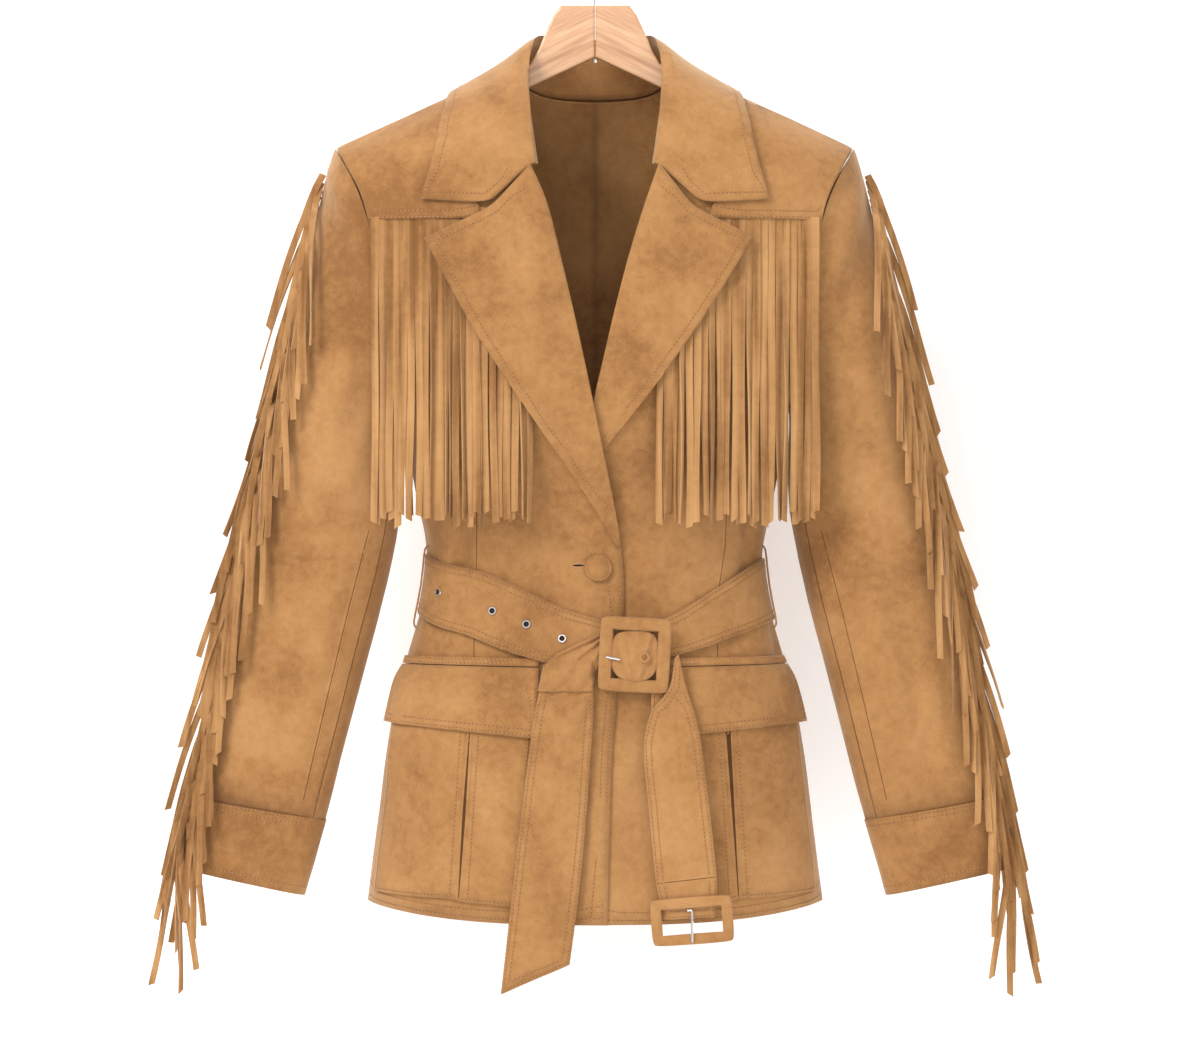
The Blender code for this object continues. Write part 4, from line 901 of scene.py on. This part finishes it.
# The belt's cloth gathered inside the main buckle: it comes up through the frame in a bulge,
# pinched into uneven folds that run from the bar.
knot = copied("belt_knot", 4, crease_from=NO_CREASE)
low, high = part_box("belt_knot")
centre, half = (low + high) / 2, (high - low) / 2
points = points_of(knot)
KNOT_FOLDS = (
    # share across at the top, at the bottom, half width in shares, depth in millimetres
    (-0.95, -0.30, 0.13, -1.5),
    (-0.66, -0.08, 0.12, 1.0),
    (0.98, 0.38, 0.12, -1.7),
    (0.62, 0.20, 0.12, 1.1),
    (0.12, 0.02, 0.22, 0.5),
)
for k, (x, y, z) in enumerate(points):
    across, up = (x - centre.x) / half.x, (z - centre.z) / half.z
    low_end = max(0.0, -up)
    wider = 1.16 - 0.26 * low_end**3
    taller = 1.06 + 0.12 * low_end
    depth = 2.4 * low_end**2 + 0.6
    for top, bottom, width, deep in KNOT_FOLDS:
        middle = top + (bottom - top) * (0.5 - up / 2) + 0.07 * math.sin(up * 4 + top * 9)
        depth += deep * math.exp(-(((across - middle) / width) ** 2)) * (1 - 0.5 * up * up)
    depth += 0.7 * noise.noise(Vector((x * 110, 2.0, z * 90)))
    forward = 1.0 if y < centre.y else 0.0
    pushed = y - forward * depth * MM
    points[k] = (centre.x + across * half.x * wider, pushed, centre.z + up * half.z * taller)
set_points(knot, points)
knot.data.materials.append(coat_suede)
keep(knot, COAT, "suede", "belt_knot")

# A covered button: suede is drawn over a domed shell and pressed into the shell's back, which
# leaves a groove inside the rim. It holds the right front over the left.
button = copied("button", 2, crease_from=NO_CREASE)
low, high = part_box("button")
centre, radius = (low + high) / 2, (high.x - low.x) / 2
points = points_of(button)
for k, (x, y, z) in enumerate(points):
    share = math.hypot(x - centre.x, z - centre.z) / radius
    if y < centre.y:
        dip = 0.9 * math.exp(-(((share - 0.80) / 0.05) ** 2)) - 0.5 * eased((0.74 - share) / 0.3)
        points[k, 1] = y + dip * MM
set_points(button, points)
button.data.materials.append(coat_suede)
keep(button, COAT, "suede", "button")

# The buttonhole beside the button is a slit that comes to a point at both ends, with thread
# worked closely round it so that the hide doesn't tear.
BEAD = 0.12
bpy.ops.mesh.primitive_torus_add(
    major_segments=64, minor_segments=6, major_radius=1.0, minor_radius=BEAD
)
worked = bpy.context.active_object
worked.name = "buttonhole"
HOLE_X, HOLE_Z, HOLE_LONG, HOLE_HIGH, THREAD_WIDE = -13.6, -520.4, 6.2, 1.5, 0.55
THREAD_TURNS, THREAD_HIGH = 32, 0.4
cloth = tree_of(dressed["front_right"])
points = points_of(worked)
for k, (x, y, z) in enumerate(points):
    turn = math.atan2(y, x)
    across, up = math.cos(turn), math.sin(turn)
    tight = 1.0 + 0.25 * math.cos(THREAD_TURNS * turn)
    reach = (math.hypot(x, y) - 1.0) / BEAD * THREAD_WIDE * tight
    flat_x = HOLE_X + across * HOLE_LONG + across * reach
    flat_z = HOLE_Z + up * abs(up) * HOLE_HIGH + up * reach
    on = first_hit(cloth, flat_x, flat_z)[0]
    points[k] = (flat_x * MM, on.y - z / BEAD * THREAD_HIGH * MM, flat_z * MM)
set_points(worked, points)
worked.data.materials.append(thread)
only(worked)
bpy.ops.object.shade_smooth()
keep(worked, COAT, "suede")

# Painted shade in the holes: through the eyelets and the slit of the buttonhole the cloth below
# lies in shade, so each is a thin dark disc laid on the cloth.
painted_hole_shade, hole_shader, empty = finish_of("hole_shadow", 1.0)
deep = empty.cloud(empty.node("ShaderNodeTexCoord", {}, {}, "Object"), 500.0)
hole_shade_colour = empty.blend(deep, (0.010, 0.006, 0.004, 1.0), (0.035, 0.018, 0.009, 1.0))
empty.tree.links.new(hole_shade_colour.socket, hole_shader.inputs["Base Color"])
EYELETS = [f"eyelet_{k}" for k in (1, 2, 3, 4)]
HOLES = [(name, "belt", 2.3, 2.3) for name in EYELETS]
HOLES.append(("buttonhole_slit", "front_right", 5.8, 0.8))
for name, node, wide, high in HOLES:
    if name in EYELETS:
        low, high_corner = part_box(name)
        x, z = (low.x + high_corner.x) / 2 / MM, (low.z + high_corner.z) / 2 / MM
    else:
        x, z = HOLE_X, HOLE_Z
    tree = tree_of(dressed[node])
    bpy.ops.mesh.primitive_circle_add(vertices=24, radius=1.0, fill_type="TRIFAN")
    dark = bpy.context.active_object
    dark.name = f"{name}_hole"
    points = points_of(dark)
    for k, (across, up, _) in enumerate(points):
        on, facing = first_hit(tree, x + across * wide, z + up * high)
        points[k] = np.array(on) + np.array(facing) * 0.12 * MM
    set_points(dark, points)
    dark.data.materials.append(painted_hole_shade)
    keep(dark, COAT, "suede")

# Where the pointed end leaves the buckle it is gathered: a fan of cloth that laps the belt's
# lower edge and spreads into the hanging end.
GATHER_LEFT = ((3.0, -577.0), (-14.0, -584.0), (-31.0, -592.0), (-42.5, -602.0), (-47.5, -622.0))
GATHER_RIGHT = ((7.0, -583.0), (5.0, -592.0), (2.5, -600.0), (-0.5, -610.0), (-2.5, -622.0))
GATHER_COLUMNS, GATHER_ROWS = 40, 24
under = [tree_of(dressed[node]) for node in ("belt", "belt_tip", "front_right")]
bpy.ops.mesh.primitive_grid_add(
    x_subdivisions=GATHER_COLUMNS, y_subdivisions=GATHER_ROWS, size=1.0
)
gathered = bpy.context.active_object
gathered.name = "belt_gather"


def along_side(side, v):
    """The x and z of one side of the fan, at a share of the way down."""
    knots = np.linspace(0, 1, len(side))
    return np.array([np.interp(v, knots, [point[j] for point in side]) for j in (0, 1)])


points = points_of(gathered)
for k, (across, up, _) in enumerate(points):
    u, v = across + 0.5, 0.5 - up
    left, right = along_side(GATHER_LEFT, v), along_side(GATHER_RIGHT, v)
    x, z = left + (right - left) * u
    hits = [first_hit(tree, x, z)[0] for tree in under]
    ahead_y = min(hit.y for hit in hits if hit) / MM
    fold = math.sin(u * 15.0 + 2.2 * v + 0.6) * (1 - v) ** 0.7 * 1.5
    fold += 0.8 * math.sin(u * 31.0) * (1 - v) ** 2
    bulge = 1.1 + 2.2 * math.sin(math.pi * v) + max(fold, -0.8)
    points[k] = np.array((x, ahead_y - bulge, z)) * MM
for _ in range(2):
    grid_y = points[:, 1].reshape(GATHER_ROWS + 1, GATHER_COLUMNS + 1)
    grid_y[1:-1] = (grid_y[:-2] + 2 * grid_y[1:-1] + grid_y[2:]) / 4
set_points(gathered, points)
only(gathered)
thicker = gathered.modifiers.new("thick", "SOLIDIFY")
thicker.thickness = 1.5 * MM
thicker.offset = 0.0
bpy.ops.object.modifier_apply(modifier="thick")
bpy.ops.object.shade_smooth_by_angle(angle=math.radians(60))
gathered.data.materials.append(coat_suede)
keep(gathered, COAT, "suede")

# A small ring, covered in the same suede, hangs by the main buckle's lower bar, beside the
# gathered cloth.
RING_AT = (39.9 * MM, -86.2 * MM, -594.5 * MM)
RING_TURN = (math.radians(84), 0, math.radians(8))
bpy.ops.mesh.primitive_torus_add(
    major_segments=36, minor_segments=12, major_radius=3.3 * MM, minor_radius=1.2 * MM,
    location=RING_AT, rotation=RING_TURN,
)
covered_ring = bpy.context.active_object
covered_ring.name = "covered_ring"
bpy.ops.object.transform_apply(location=True, rotation=True, scale=True)
bpy.ops.object.shade_smooth()
covered_ring.data.materials.append(coat_suede)
keep(covered_ring, COAT, "suede")

# A narrow thread loop at each side seam holds the belt up. It has the coat's own tone and stands
# a little off the cloth.
for word in SIDES:
    piece = copied(f"belt_loop_{word}", 1)
    piece.data.materials.append(coat_suede)
    keep(piece, COAT, "suede", f"belt_loop_{word}")

# The hanger: two arms of pale beech glued at a mitre, so the grain runs down each arm and meets
# in a V at the middle.
wood, wood_shader, grown = finish_of("hanger_beech", 0.42)
spot = grown.node("ShaderNodeTexCoord", {}, {}, "Object")
split_at, depth, height = (
    grown.node("ShaderNodeSeparateXYZ", {}, {"Vector": spot}, axis) for axis in range(3)
)
out = grown.node("ShaderNodeMath", {"operation": "ABSOLUTE"}, {0: split_at})
GRAIN_SLOPE = math.radians(25)
BAND_SCALE = (7.0, 120.0, 60.0)  # features a metre along the grain, over it and into the wood
PORE_SCALE = (60.0, 900.0, 300.0)
along_grain = out * math.cos(GRAIN_SLOPE) - height * math.sin(GRAIN_SLOPE)
over_grain = out * math.sin(GRAIN_SLOPE) + height * math.cos(GRAIN_SLOPE)


def drawn_along(scale):
    """A place in the wood, scaled along the grain, over it and into the wood."""
    sockets = {k: way * scale[k] for k, way in enumerate((along_grain, over_grain, depth))}
    return grown.node("ShaderNodeCombineXYZ", {}, sockets)


bands = grown.cloud(drawn_along(BAND_SCALE), 1.6, 4.0, 0.5)
pores = grown.cloud(drawn_along(PORE_SCALE), 1.0)
wood_stops = [
    (0.36, (0.400, 0.190, 0.082)),
    (0.50, (0.540, 0.285, 0.140)),
    (0.64, (0.630, 0.370, 0.200)),
]
figure = bands * 0.75 + pores * 0.25
wood_colour = grown.node("ShaderNodeValToRGB", {"stops": wood_stops}, {"Fac": figure})
wood_bump = grown.node("ShaderNodeBump", {}, {"Strength": 0.12, "Distance": 0.0004, "Height": pores})
grown.tree.links.new(wood_colour.socket, wood_shader.inputs["Base Color"])
grown.tree.links.new(wood_bump.socket, wood_shader.inputs["Normal"])
wood_shader.inputs["Coat Weight"].default_value = 0.25
for word in SIDES:
    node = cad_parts[f"hanger_{word}"]
    node.data.materials.clear()
    node.data.materials.append(wood)

# Bright plated metal: the hanger's wire hook and the end of its screw, the prongs of both buckles
# and the eyelets. Each is bent, turned or pressed first and plated afterwards.
plated, plated_shader, drawn = finish_of("bright_plate", 0.16, 1.0)
marks = drawn.cloud(drawn.node("ShaderNodeTexCoord", {}, {}, "Object"), 700.0, 3.0)
plate_colour = drawn.blend(marks, (0.70, 0.70, 0.71, 1.0), (0.80, 0.80, 0.81, 1.0))
plate_rough = 0.10 + marks * 0.14
drawn.tree.links.new(plate_colour.socket, plated_shader.inputs["Base Color"])
drawn.tree.links.new(plate_rough.socket, plated_shader.inputs["Roughness"])
for name in EYELETS + ["buckle_prong", "end_buckle_prong", "hanger_screw", "hanger_hook"]:
    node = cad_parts[name]
    node.data.materials.clear()
    node.data.materials.append(plated)


# The room: a white wall close behind the coat and a pale floor, in soft light from the upper
# left. The paper shows on one side only, so the coat can be seen from behind too.
paper, paper_shader, plain = finish_of("white_paper", 0.9)
paper_shader.inputs["Base Color"].default_value = (0.94, 0.94, 0.94, 1.0)
paper_shader.inputs["Emission Color"].default_value = (1.0, 1.0, 1.0, 1.0)
paper_shader.inputs["Emission Strength"].default_value = 0.14
PAPER_WIDE, FLOOR_Z, WALL_Y = 6.0, -1.25, 0.24
bpy.ops.object.select_all(action="DESELECT")
bpy.ops.mesh.primitive_plane_add(size=PAPER_WIDE, location=(0, 0, FLOOR_Z))
floor = bpy.context.active_object
floor.name = "floor"
upright = (math.radians(90), 0, 0)
bpy.ops.mesh.primitive_plane_add(size=PAPER_WIDE, location=(0, WALL_Y, 0.5), rotation=upright)
wall = bpy.context.active_object
wall.name = "wall"
one_sided = plain.node("ShaderNodeNewGeometry", {}, {}, "Backfacing")
clear = plain.node("ShaderNodeBsdfTransparent", {}, {}, 0)
both = plain.tree.nodes.new("ShaderNodeMixShader")
plain.tree.links.new(one_sided.socket, both.inputs[0])
plain.tree.links.new(paper_shader.outputs[0], both.inputs[1])
plain.tree.links.new(clear.socket, both.inputs[2])
plain.tree.links.new(both.outputs[0], plain.tree.nodes["Material Output"].inputs["Surface"])
for one in (floor, wall):
    one.data.materials.append(paper)

LIGHTS = (
    # name, x, y, z, size, power in watts
    ("key", -1.7, -2.2, 1.3, 1.2, 70.0),
    ("fill", 2.2, -2.4, 0.0, 2.2, 14.0),
    ("top", 0.0, -0.5, 1.9, 1.6, 20.0),
    ("front", 0.1, -4.4, -0.1, 1.4, 24.0),
)
LIT_AT = Vector((0, 0, -0.45))
for name, x, y, z, size, watts in LIGHTS:
    data = bpy.data.lights.new(name, "AREA")
    data.size = size
    data.energy = watts
    lamp = bpy.data.objects.new(name, data)
    lamp.location = (x, y, z)
    lamp.rotation_euler = (LIT_AT - lamp.location).to_track_quat("-Z", "Y").to_euler()
    bpy.context.scene.collection.objects.link(lamp)
world = bpy.data.worlds.new("room")
world.use_nodes = True
world.node_tree.nodes["Background"].inputs["Color"].default_value = (1.0, 1.0, 1.0, 1.0)
world.node_tree.nodes["Background"].inputs["Strength"].default_value = 0.62
bpy.context.scene.world = world
bpy.context.scene.view_settings.view_transform = "Standard"

# The picture was taken square on from well back, through a long lens. The hanger's hook is cut
# off by its upper edge.
FRAME_WIDE, LENS, SENSOR = 0.984, 200.0, 36.0
camera_data = bpy.data.cameras.new("camera")
camera_data.lens = LENS
camera_data.sensor_width = SENSOR
camera_data.clip_end = 60.0
camera = bpy.data.objects.new("camera", camera_data)
camera.location = (0.004, -FRAME_WIDE * LENS / SENSOR, -0.486)
camera.rotation_euler = (math.radians(90), 0, 0)
bpy.context.scene.collection.objects.link(camera)
bpy.context.scene.camera = camera

for shaped in plain_meshes.values():
    shaped.free()
